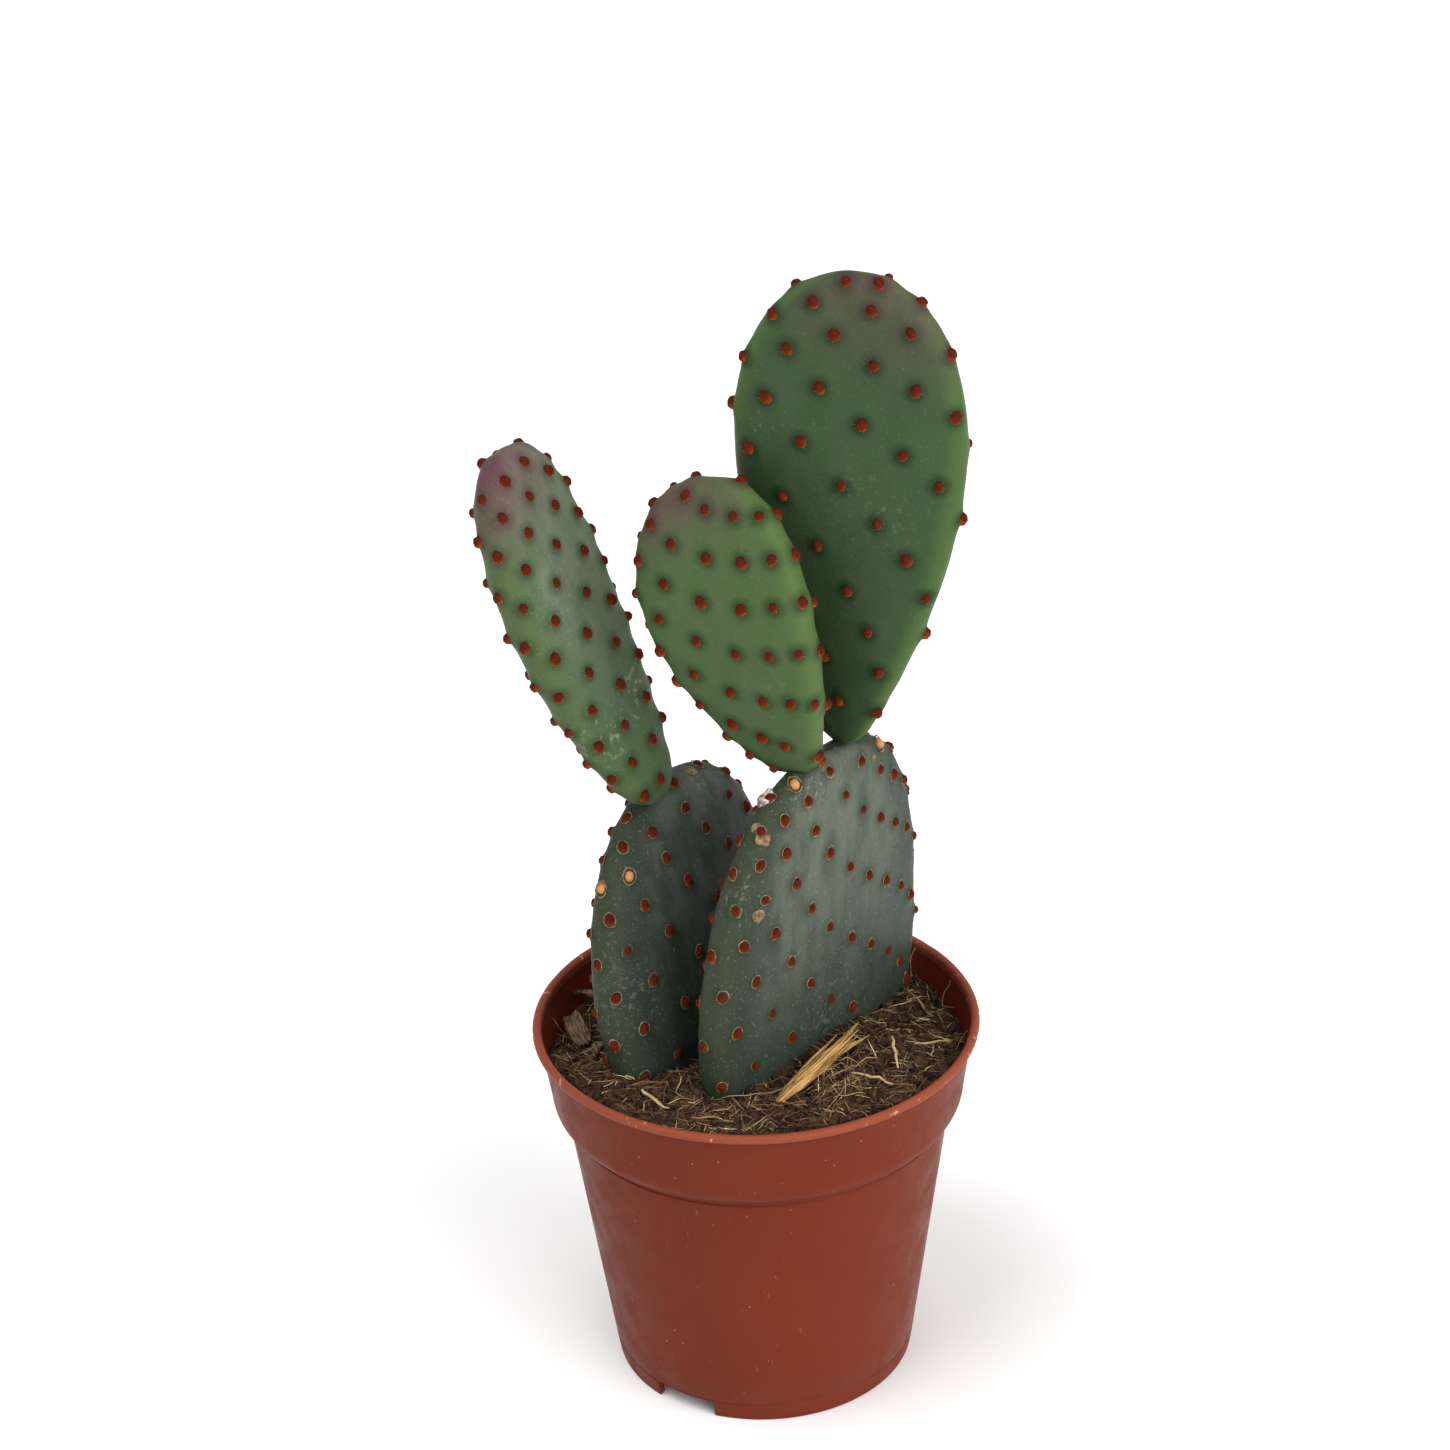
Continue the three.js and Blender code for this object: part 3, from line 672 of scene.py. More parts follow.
def skin_material(look, colour):
    """Waxy pad skin. It reads painted numbers: distance to the nearest tuft, margin, bloom, blush
    and scuffs. Thinning the bloom towards the foot also paints light on the top and shade low down."""
    base = tuple(colour)
    material, tree, shader = new_material(look["name"], {
        "Base Color": (*base, 1), "IOR": 1.42, "Roughness": 0.5, "Specular IOR Level": 0.14})
    where = object_coordinates(tree)
    colour = blend(tree, ramp(tree, speckle(tree, where, 0.06, 3), 0.35, 0.65), base,
                   [c * k for c, k in zip(base, (1.2, 1.12, 1.1))])
    stretched = add(tree, "ShaderNodeMapping", {"Scale": (1.0, 1.0, 0.35)}, {"Vector": where})
    waxy = speckle(tree, stretched.outputs[0], 0.2, 6, 0.6)
    margin = painted(tree, "margin")
    bloom = ramp(tree, waxy, 0.33, 0.62, 0.35, 1.0)
    # The painted bloom number, less towards the foot, is partly painted light and shade: top lighter,
    # foot darker
    if look["bloom_face"]:
        face = ramp(tree, margin, 0.75, 0.05)
        bloom = maths(tree, "MULTIPLY", maths(tree, "MULTIPLY", bloom, face), painted(tree, "bloom"))
    bloom = maths(tree, "MULTIPLY", bloom, look["bloom_most"])
    colour = blend(tree, bloom, colour, look["bloom"])
    colour = blend(tree, ramp(tree, margin, 0.5, 0.95, 0, 0.6), colour, look["margin"])
    near = painted(tree, "tuft_distance")
    dark = ramp(tree, near, 3.1, 0.7, 0, look["halo_most"])
    colour = blend(tree, dark, colour, look["halo"])
    flush = maths(tree, "MULTIPLY", painted(tree, "blush"),
                  ramp(tree, speckle(tree, where, 0.11, 4), 0.3, 0.62, 0.75, 1.0))
    colour = blend(tree, flush, colour, (0.105, 0.03, 0.052))
    fleck = ramp(tree, speckle(tree, where, 1.7, 2), 0.6, 0.74, 0, look["flecks"])
    colour = blend(tree, fleck, colour, (0.24, 0.27, 0.2))
    rub = maths(tree, "MULTIPLY", painted(tree, "scuff"),
                ramp(tree, speckle(tree, where, 0.75, 6, 0.7), 0.54, 0.64))
    colour = blend(tree, maths(tree, "MULTIPLY", rub, 0.6), colour, (0.3, 0.33, 0.24))
    tree.links.new(colour, shader.inputs["Base Color"])
    rough = maths(tree, "ADD", ramp(tree, waxy, 0.3, 0.7, 0.44, 0.6),
                  maths(tree, "MULTIPLY", rub, 0.2))
    tree.links.new(rough, shader.inputs["Roughness"])
    pores = maths(tree, "ADD", speckle(tree, where, 2.2, 2),
                  maths(tree, "MULTIPLY", speckle(tree, where, 0.5, 4), 0.8))
    bumped(tree, shader, pores, 0.07, 0.5)
    return material


def bristle_material():
    """Red-brown on the tuft, orange round its lower rim, straw-coloured where dry."""
    material, tree, shader = new_material("glochid bristles", {
        "Base Color": (0.2, 0.03, 0.01, 1), "Roughness": 0.6, "IOR": 1.5,
        "Specular IOR Level": 0.06})
    grain = speckle(tree, object_coordinates(tree), 3.2, 3, 0.7)
    tone = maths(tree, "ADD", painted(tree, "tone"), ramp(tree, grain, 0.3, 0.7, -0.16, 0.16))
    colour = blend(tree, ramp(tree, tone, 0.1, 0.5, smooth=False), (0.07, 0.009, 0.003),
                   (0.23, 0.034, 0.007))
    colour = blend(tree, ramp(tree, tone, 0.5, 1.0, smooth=False), colour, (0.55, 0.19, 0.045))
    colour = blend(tree, ramp(tree, tone, 1.2, 1.8, smooth=False), colour, (0.5, 0.33, 0.17))
    tree.links.new(colour, shader.inputs["Base Color"])
    bumped(tree, shader, grain, 0.16, 0.9)
    return material


def felt_material():
    """Pale dried felt of the rings round old tufts and of corky spots."""
    material, tree, shader = new_material("dried areole felt", {
        "Base Color": (0.4, 0.27, 0.15, 1), "Roughness": 0.85, "IOR": 1.4})
    where = object_coordinates(tree)
    colour = blend(tree, ramp(tree, speckle(tree, where, 1.1, 4), 0.35, 0.68),
                   (0.1, 0.055, 0.025), (0.27, 0.185, 0.095))
    tree.links.new(colour, shader.inputs["Base Color"])
    bumped(tree, shader, speckle(tree, where, 2.4, 4), 0.15, 0.8)
    return material


def scar_material():
    material, tree, shader = new_material("withered scar", {
        "Base Color": (0.3, 0.2, 0.24, 1), "Roughness": 0.8, "IOR": 1.4})
    where = object_coordinates(tree)
    colour = blend(tree, ramp(tree, speckle(tree, where, 0.7, 4), 0.4, 0.62), (0.12, 0.05, 0.08),
                   (0.6, 0.56, 0.52))
    tree.links.new(colour, shader.inputs["Base Color"])
    bumped(tree, shader, speckle(tree, where, 1.5, 4), 0.3, 0.9)
    return material


def soil_material(settings):
    dark, light = tuple(settings.dark), tuple(settings.light)
    material, tree, shader = new_material("peat and coir", {
        "Base Color": (*light, 1), "Roughness": 0.95, "Specular IOR Level": 0.15})
    where = object_coordinates(tree)
    colour = blend(tree, ramp(tree, speckle(tree, where, 0.7, 6), 0.35, 0.7), dark, light)
    warm = ramp(tree, speckle(tree, where, 0.25, 4), 0.5, 0.7, 0, 0.6)
    colour = blend(tree, warm, colour, (0.13, 0.068, 0.03))
    # Painted shade: the soil turns towards the dark peat colour the lower it lies in the hollows of its
    # lumps
    colour = blend(tree, ramp(tree, painted(tree, "relief"), -0.2, -1.2, 0, 0.85), colour, dark)
    tree.links.new(colour, shader.inputs["Base Color"])
    bumped(tree, shader, speckle(tree, where, 1.6, 6, 0.7), 0.5, 0.9)
    return material


def fibre_material():
    """Dead plant fibre, from dark brown through tan to straw by its tone."""
    material, tree, shader = new_material("dead fibre", {
        "Base Color": (0.2, 0.13, 0.07, 1), "Roughness": 0.7, "IOR": 1.45,
        "Specular IOR Level": 0.3})
    where = object_coordinates(tree)
    tone = painted(tree, "tone")
    colour = blend(tree, ramp(tree, tone, 0.0, 0.35, smooth=False), (0.022, 0.013, 0.009),
                   (0.1, 0.052, 0.025))
    colour = blend(tree, ramp(tree, tone, 0.35, 0.7, smooth=False), colour, (0.29, 0.17, 0.075))
    colour = blend(tree, ramp(tree, tone, 0.7, 1.0, smooth=False), colour, (0.62, 0.47, 0.24))
    mottle = ramp(tree, speckle(tree, where, 1.1, 4), 0.4, 0.7, 0, 0.45)
    colour = blend(tree, mottle, colour, (0.09, 0.05, 0.025))
    tree.links.new(colour, shader.inputs["Base Color"])
    bumped(tree, shader, speckle(tree, where, 3.0, 3), 0.08, 0.5)
    return material


def split_wood_material(name, pale, deep, heading):
    """Wood split along its grain, which runs at this heading in plan. Each strand of it has its
    own tone."""
    material, tree, shader = new_material(name, {
        "Base Color": (*pale, 1), "Roughness": 0.6, "IOR": 1.5, "Specular IOR Level": 0.3})
    where = object_coordinates(tree)
    along = add(tree, "ShaderNodeMapping", {"Rotation": (0, 0, heading)}, {"Vector": where},
                vector_type="TEXTURE")
    along = add(tree, "ShaderNodeMapping", {"Scale": (0.08, 1.0, 1.0)},
                {"Vector": along.outputs[0]})
    streak = speckle(tree, along.outputs[0], 1.8, 5, 0.65)
    toned = maths(tree, "ADD", ramp(tree, streak, 0.34, 0.66, -0.45, 0.45), painted(tree, "tone"))
    colour = blend(tree, ramp(tree, toned, 0.1, 0.95), deep, pale)
    colour = blend(tree, ramp(tree, speckle(tree, where, 0.5, 3), 0.5, 0.7, 0, 0.4), colour,
                   [0.4 * a + 0.6 * b for a, b in zip(pale, deep)])
    tree.links.new(colour, shader.inputs["Base Color"])
    bumped(tree, shader, streak, 0.22, 0.9)
    return material


# Pot

def arc(centre, radius, first, last, steps):
    """Points as radius and height on an arc, its angles in degrees."""
    for k in range(steps + 1):
        a = math.radians(first + (last - first) * k / steps)
        yield centre[0] + radius * math.cos(a), centre[1] + radius * math.sin(a)


def curve(first, handle, second_handle, last, steps):
    for k in range(1, steps):
        t = k / steps
        weights = ((1 - t) ** 3, 3 * t * (1 - t) ** 2, 3 * t * t * (1 - t), t ** 3)
        points = (first, handle, second_handle, last)
        yield tuple(sum(w * p[i] for w, p in zip(weights, points)) for i in (0, 1))


def pot_profile():
    """Radius and height from the inner edge of the foot ring, up the outside, over the lip and
    down the inside to the floor."""
    slope = (BODY_TOP_RADIUS - FOOT_RADIUS) / SHOULDER_Z

    def body(z):
        return FOOT_RADIUS + slope * z

    def groove(z, depth, half):
        return [(body(z - half), z - half), (body(z - 0.5 * half) - 0.55 * depth, z - 0.5 * half),
                (body(z) - depth, z), (body(z + 0.5 * half) - 0.55 * depth, z + 0.5 * half),
                (body(z + half), z + half)]

    bead = LIP_WIDTH / 2
    lip_centre = (LIP_RADIUS - bead, POT_HEIGHT - bead)
    shoulder = curve((COLLAR_FOOT_RADIUS, COLLAR_FOOT_Z), (COLLAR_FOOT_RADIUS - 0.1, 57.6),
                     (COLLAR_FOOT_RADIUS - 0.9, 56.7), (BODY_TOP_RADIUS + 0.15, SHOULDER_Z), 8)
    collar = [(COLLAR_FOOT_RADIUS + t * (COLLAR_TOP_RADIUS - COLLAR_FOOT_RADIUS),
               COLLAR_FOOT_Z + t * (POT_HEIGHT - LIP_HEIGHT - COLLAR_FOOT_Z))
              for t in (0, 0.3, 0.6, 0.85, 1)]
    walls = [(body(z), z) for z in (10, 18, 26, 34, 42, 50)]
    outside = [
        *arc((FOOT_RADIUS - 0.4, 0.4), 0.4, -90, 0, 4), *groove(FOOT_LINE_Z, 0.16, 0.22), *walls,
        *groove(CREASE_Z, CREASE_DEPTH, 0.3), (BODY_TOP_RADIUS + 0.15, SHOULDER_Z),
        *reversed(list(shoulder)), *collar,
    ]
    inside = [*reversed(INSIDE[1:4]), (body(30) - WALL, 30.0), INSIDE[0]]
    return [*outside, *arc(lip_centre, bead, -55, 180, 14),
            (LIP_RADIUS - LIP_WIDTH, POT_HEIGHT - LIP_HEIGHT), *inside]


def extrude_rings(profile):
    """Extrudes the selected ring through the radii and heights of a profile."""
    axis = Vector((POT_X * MM, POT_Y * MM, 0))
    radius, height = profile[0]
    for next_radius, next_height in profile[1:]:
        bpy.ops.mesh.extrude_region_move()
        size = next_radius / radius
        bpy.ops.transform.resize(value=(size, size, 1), center_override=axis)
        bpy.ops.transform.translate(value=(0, 0, (next_height - height) * MM))
        radius, height = next_radius, next_height


def cut_away(piece, cutter):
    """Cuts the shape of another piece out of this one."""
    apply_modifier(piece, "BOOLEAN", object=cutter, operation="DIFFERENCE", solver="EXACT")
    discard([cutter])


class CACTUS_OT_pot(bpy.types.Operator):
    """Model the thin-walled nursery pot with its rounded lip, collar, notches and drain holes"""

    bl_idname = "cactus.pot"
    bl_label = "Nursery Pot"

    def execute(self, context):
        settings = context.scene.cactus_pot
        profile = pot_profile()
        axis = (POT_X * MM, POT_Y * MM, 0)
        deselect()
        bpy.ops.mesh.primitive_circle_add(
            vertices=settings.sides, radius=profile[0][0] * MM, location=axis, fill_type="NOTHING")
        pot = context.object
        bpy.ops.object.transform_apply(location=True)
        bpy.ops.object.mode_set(mode="EDIT")
        bpy.ops.mesh.select_all(action="SELECT")
        extrude_rings(profile)
        bpy.ops.mesh.extrude_region_move()
        bpy.ops.mesh.merge(type="CENTER")
        bpy.ops.object.mode_set(mode="OBJECT")
        self.close_underside(pot, profile[0][0])
        face_outwards(pot)
        self.cut_openings(pot)
        apply_modifier(pot, "BEVEL", width=0.12 * MM, segments=2, limit_method="ANGLE",
                       angle_limit=math.radians(60))
        self.wear_lip(pot)
        activate(pot)
        bpy.ops.object.shade_smooth_by_angle(angle=math.radians(38))
        finish_piece(pot, "nursery_pot", pot_material(settings), "pot_plastic", "pot")
        return {"FINISHED"}

    def close_underside(self, pot, radius):
        """Carries the inner edge of the foot ring up to the raised floor and closes it."""
        activate(pot)
        bpy.ops.object.mode_set(mode="EDIT")
        bpy.ops.mesh.select_mode(type="EDGE")
        bpy.ops.mesh.select_all(action="DESELECT")
        bpy.ops.mesh.select_non_manifold()
        extrude_rings([(radius, 0), (FOOT_RADIUS - FOOT_RING_WIDTH, 0),
                       (FOOT_RADIUS - FOOT_RING_WIDTH + 0.4, FLOOR_Z)])
        bpy.ops.mesh.extrude_region_move()
        bpy.ops.mesh.merge(type="CENTER")
        bpy.ops.object.mode_set(mode="OBJECT")

    def cut_openings(self, pot):
        for angle in map(math.radians, NOTCH_ANGLES):
            deselect()
            bpy.ops.mesh.primitive_cube_add(
                size=1, rotation=(0, 0, angle),
                location=to_frame((FOOT_RADIUS * math.cos(angle), FOOT_RADIUS * math.sin(angle), 0)),
                scale=(8 * MM, NOTCH_WIDTH * MM, (2 * FOOT_LINE_Z - 0.4) * MM))
            cut_away(pot, bpy.context.object)
        for k in range(DRAIN_COUNT + 1):
            angle = TURN * (k + 0.5) / DRAIN_COUNT
            reach = 0 if k == DRAIN_COUNT else DRAIN_CIRCLE
            deselect()
            bpy.ops.mesh.primitive_cylinder_add(
                vertices=32, radius=DRAIN_RADIUS * MM, depth=4 * MM,
                location=to_frame((reach * math.cos(angle), reach * math.sin(angle),
                                   FLOOR_Z + WALL / 2)))
            cut_away(pot, bpy.context.object)

    def wear_lip(self, pot):
        """Small nicks and a slightly uneven edge on the outside of the lip."""
        points = from_frame(points_of(pot))
        radius = np.hypot(points[:, 0], points[:, 1])
        on_lip = (points[:, 2] > POT_HEIGHT - LIP_HEIGHT - 0.1) & (radius > LIP_RADIUS - 0.9)
        for n in np.flatnonzero(on_lip):
            where = Vector(points[n])
            nick = max(0.0, noise.noise(where * 0.45) - 0.28) * 0.35
            wave = 0.03 * noise.noise(where * 0.12)
            points[n, :2] *= 1 - (nick + wave) / radius[n]
        move_points(pot, to_frame(points))


# Soil

def soil_relief(x, y):
    """Lumps and crumbs on the soil, mm."""
    where = Vector((x, y, 3.1))
    clumps = noise.noise(where * 0.16) * 0.9
    lumps = noise.noise(where * 0.45 + Vector((7, 3, 1))) * 0.75
    crumbs = abs(noise.noise(where * 1.1 + Vector((2, 9, 4)))) * -0.9 + 0.25
    grains = noise.noise(where * 2.3) * 0.3
    return clumps + lumps + crumbs + grains


class CACTUS_OT_soil(bpy.types.Operator):
    """Model the bed of peat with its lumps, and strew it with crumbs and coir fibres"""

    bl_idname = "cactus.soil"
    bl_label = "Soil"

    def execute(self, context):
        settings = context.scene.cactus_soil
        rng = random.Random(11)
        self.pads = [pad_tree(pad) for pad in PADS.values() if pad["kind"] == "old"]
        peat = soil_material(settings)
        finish_piece(self.bed(settings), "soil_bed", peat, "potting_soil", "soil")
        finish_piece(self.crumbs(settings, rng), "peat_crumbs", peat, "potting_soil")
        fibres = self.fibres(settings, rng)
        finish_piece(fibres, "coir_fibres", fibre_material(), "potting_soil")
        return {"FINISHED"}

    def bed(self, settings):
        """A disc of soil with lumps on it, carried down inside the pot and closed."""
        deselect()
        n = settings.divisions
        bpy.ops.mesh.primitive_grid_add(x_subdivisions=n, y_subdivisions=n, size=2)
        bed = bpy.context.object
        square = points_of(bed)
        x = square[:, 0] * np.sqrt(1 - square[:, 1] ** 2 / 2)
        y = square[:, 1] * np.sqrt(1 - square[:, 0] ** 2 / 2)
        reach = inner_radius(soil_top(x * 40, y * 40)) - SOIL_GAP
        x, y = x * reach, y * reach
        rim = np.clip((reach - np.hypot(x, y)) / 2.0, 0, 1)
        relief = np.array([soil_relief(a, b) for a, b in zip(x, y)]) * (0.35 + 0.65 * rim)
        top = soil_top(x, y) + relief - 0.9 * (1 - rim)
        move_points(bed, to_frame(np.stack((x, y, top), 1)))
        # The relief also sets the painted shade in the hollows
        paint(bed, "relief", relief)
        activate(bed)
        bpy.ops.object.mode_set(mode="EDIT")
        bpy.ops.mesh.select_mode(type="EDGE")
        bpy.ops.mesh.select_all(action="DESELECT")
        bpy.ops.mesh.select_non_manifold()
        for height in (58.0, 53.0, SOIL_FOOT_Z):
            bpy.ops.mesh.extrude_region_move()
            bpy.ops.object.mode_set(mode="OBJECT")
            self.set_ring(bed, height)
            bpy.ops.object.mode_set(mode="EDIT")
        bpy.ops.mesh.extrude_region_move()
        bpy.ops.mesh.merge(type="CENTER")
        bpy.ops.object.mode_set(mode="OBJECT")
        face_outwards(bed)
        bpy.ops.object.shade_smooth()
        return bed

    def set_ring(self, bed, height):
        """Sets the selected points on the inside of the pot at this height."""
        picked = np.empty(len(bed.data.vertices), dtype=bool)
        bed.data.vertices.foreach_get("select", picked)
        points = from_frame(points_of(bed))
        ring = points[picked]
        radius = float(inner_radius(height)) - SOIL_GAP
        ring[:, :2] *= radius / np.hypot(ring[:, 0], ring[:, 1])[:, None]
        ring[:, 2] = height
        points[picked] = ring
        move_points(bed, to_frame(points))

    def spot(self, rng, margin):
        """A place on the soil, clear of the pads and of the wall."""
        while True:
            radius = 40.2 * math.sqrt(rng.random())
            angle = TURN * rng.random()
            x, y = radius * math.cos(angle), radius * math.sin(angle)
            z = float(soil_top(x, y)) + soil_relief(x, y)
            clear = all(tree.find_nearest(Vector((x, y, z)))[3] > margin for tree in self.pads)
            if radius < float(inner_radius(z)) - margin and clear and not self.inside_pad((x, y, z)):
                return x, y, z

    def inside_pad(self, point):
        for tree in self.pads:
            near, normal, _, _ = tree.find_nearest(Vector(point))
            if (Vector(point) - near).dot(normal) < 0:
                return True
        return False

    def crumbs(self, settings, rng):
        samples = [crumb_sample(seed) for seed in range(CRUMB_SAMPLES)]
        placings = []
        for _ in range(settings.crumbs):
            x, y, z = self.spot(rng, 0.8)
            size = rng.uniform(0.35, 1.0) ** 1.5 * 2.1
            turn = Matrix.Rotation(rng.uniform(0, TURN), 4, Vector((rng.random(), rng.random(), 1)))
            scale = Matrix.Diagonal((size, size * rng.uniform(0.6, 1), size * rng.uniform(0.5, 0.9), 1))
            matrix = Matrix.Translation(to_frame((x, y, z + 0.15 * size))) @ turn @ scale
            placings.append((rng.randrange(CRUMB_SAMPLES), matrix, {"relief": rng.uniform(-1.1, 0.6)}))
        crumbs = join_copies(samples, placings)
        discard(samples)
        activate(crumbs)
        bpy.ops.object.shade_smooth()
        return crumbs

    def fibres(self, settings, rng):
        samples = [fibre_sample(seed) for seed in range(FIBRE_SAMPLES)]
        placings = []
        for n in range(settings.fibres):
            x, y, z = self.spot(rng, 0.25)
            heading = rng.uniform(0, TURN)
            length = rng.uniform(1.6, 4.2) if rng.random() < 0.8 else rng.uniform(4.2, 8.5)
            ahead = 0.35 * length
            dx, dy = ahead * math.cos(heading), ahead * math.sin(heading)
            if math.hypot(x + dx, y + dy) > 39.2 or math.hypot(x - dx, y - dy) > 39.2:
                continue
            rise = float(soil_top(x + dx, y + dy) - soil_top(x - dx, y - dy)) / (2 * ahead)
            tilt = -math.atan(rise) + rng.gauss(0, 0.16)
            width = rng.uniform(0.5, 1.0) * (1.5 if rng.random() < 0.12 else 1)
            matrix = (Matrix.Translation(to_frame((x, y, z + rng.uniform(0.0, 0.55))))
                      @ Matrix.Rotation(heading, 4, "Z") @ Matrix.Rotation(tilt, 4, "Y")
                      @ Matrix.Rotation(rng.gauss(0, 0.7), 4, "X")
                      @ Matrix.Diagonal((length, width, width, 1)))
            tone = min(1.0, max(0.02, rng.gauss(0.38, 0.3)))
            placings.append((rng.randrange(FIBRE_SAMPLES), matrix, {"tone": tone}))
        fibres = join_copies(samples, placings)
        discard(samples)
        activate(fibres)
        bpy.ops.object.shade_smooth()
        return fibres


def crumb_sample(seed):
    """A lump of peat 1 mm across, at the origin."""
    deselect()
    bpy.ops.mesh.primitive_uv_sphere_add(segments=6, ring_count=4, radius=0.5 * MM)
    crumb = bpy.context.object
    points = points_of(crumb)
    for n, point in enumerate(points):
        swell = noise.noise(Vector(point / MM) * 2.2 + Vector((seed * 5, 0, 0)))
        points[n] = point * (1 + 0.75 * swell)
    move_points(crumb, points)
    return crumb


def fibre_sample(seed):
    """A crooked fibre along X, 1 mm long and about 0.3 mm thick, at the origin."""
    rng = random.Random(seed)
    deselect()
    bpy.ops.mesh.primitive_cylinder_add(
        vertices=4, radius=0.15 * MM, depth=MM, end_fill_type="NGON", rotation=(0, math.pi / 2, 0))
    fibre = bpy.context.object
    bpy.ops.object.transform_apply(rotation=True)
    for cut in (-0.3, -0.1, 0.1, 0.3):
        bpy.ops.object.mode_set(mode="EDIT")
        bpy.ops.mesh.select_all(action="SELECT")
        bpy.ops.mesh.bisect(plane_co=(cut * MM, 0, 0), plane_no=(1, 0, 0))
        bpy.ops.object.mode_set(mode="OBJECT")
    points = points_of(fibre)
    along = points[:, 0] / MM
    slim = 1 - 0.75 * np.abs(2 * along) ** 3
    points[:, 1] *= slim
    points[:, 2] *= slim * 0.6
    bend, wave, phase = rng.gauss(0, 0.35), rng.gauss(0, 0.09), rng.uniform(0, TURN)
    points[:, 1] += (bend * along ** 2 + wave * np.sin(9 * along + phase)) * MM
    points[:, 2] -= 0.5 * abs(rng.gauss(0, 0.35)) * along ** 2 * MM
    move_points(fibre, points)
    return fibre


def pad_tree(pad):
    """Coarse surface of a pad in millimetres, to measure distances to it."""
    rows, columns = 40, 48
    points, faces = [], []
    for r in range(rows + 1):
        u = 0.5 - 0.5 * math.cos(math.pi * (r + 0.02) / (rows + 0.04))
        angles = -TURN * np.arange(columns) / columns
        points.extend(map(Vector, pad_point(pad, np.full(columns, u), angles)))
    for r in range(rows):
        for k in range(columns):
            a, b = r * columns + k, r * columns + (k + 1) % columns
            faces.append((a, b, b + columns, a + columns))
    return BVHTree.FromPolygons(points, faces)


# Litter

def strand(points, widths, sides=6, flat=0.6):
    """A tapered strand through points given in millimetres, as one closed mesh."""
    deselect()
    bpy.ops.mesh.primitive_cylinder_add(
        vertices=sides, radius=0.5, depth=len(points) - 1, end_fill_type="NGON")
    piece = bpy.context.object
    middle = (len(points) - 1) / 2
    for cut in range(1, len(points) - 1):
        bpy.ops.object.mode_set(mode="EDIT")
        bpy.ops.mesh.select_all(action="SELECT")
        bpy.ops.mesh.bisect(plane_co=(0, 0, cut - middle), plane_no=(0, 0, 1))
        bpy.ops.object.mode_set(mode="OBJECT")
    path = np.asarray(points, dtype=float)
    tangents = np.gradient(path, axis=0)
    tangents /= np.linalg.norm(tangents, axis=1)[:, None]
    sides_way = np.cross(tangents, (0, 0, 1))
    sides_way /= np.linalg.norm(sides_way, axis=1)[:, None]
    up = np.cross(sides_way, tangents)
    shape = points_of(piece)
    station = np.clip(np.rint(shape[:, 2] + middle).astype(int), 0, len(points) - 1)
    width = np.asarray(widths, dtype=float)[station][:, None]
    moved = (path[station] + sides_way[station] * shape[:, :1] * width
             + up[station] * shape[:, 1:2] * width * flat)
    move_points(piece, to_frame(moved))
    face_outwards(piece)
    return piece


def soil_path(first, last, steps, lift=(0.8, 0.8), waver=0.0, seed=0):
    """Points over the soil from one place in plan to another, with their height above it."""
    rng = random.Random(seed)
    first, last = np.array(first), np.array(last)
    across = np.array((first[1] - last[1], last[0] - first[0]))
    across /= np.linalg.norm(across)
    path = []
    for k in range(steps + 1):
        t = k / steps
        x, y = first + (last - first) * t + across * waver * rng.gauss(0, 1) * math.sin(math.pi * t)
        path.append((x, y, float(soil_top(x, y)) + lift[0] + (lift[1] - lift[0]) * t))
    return path


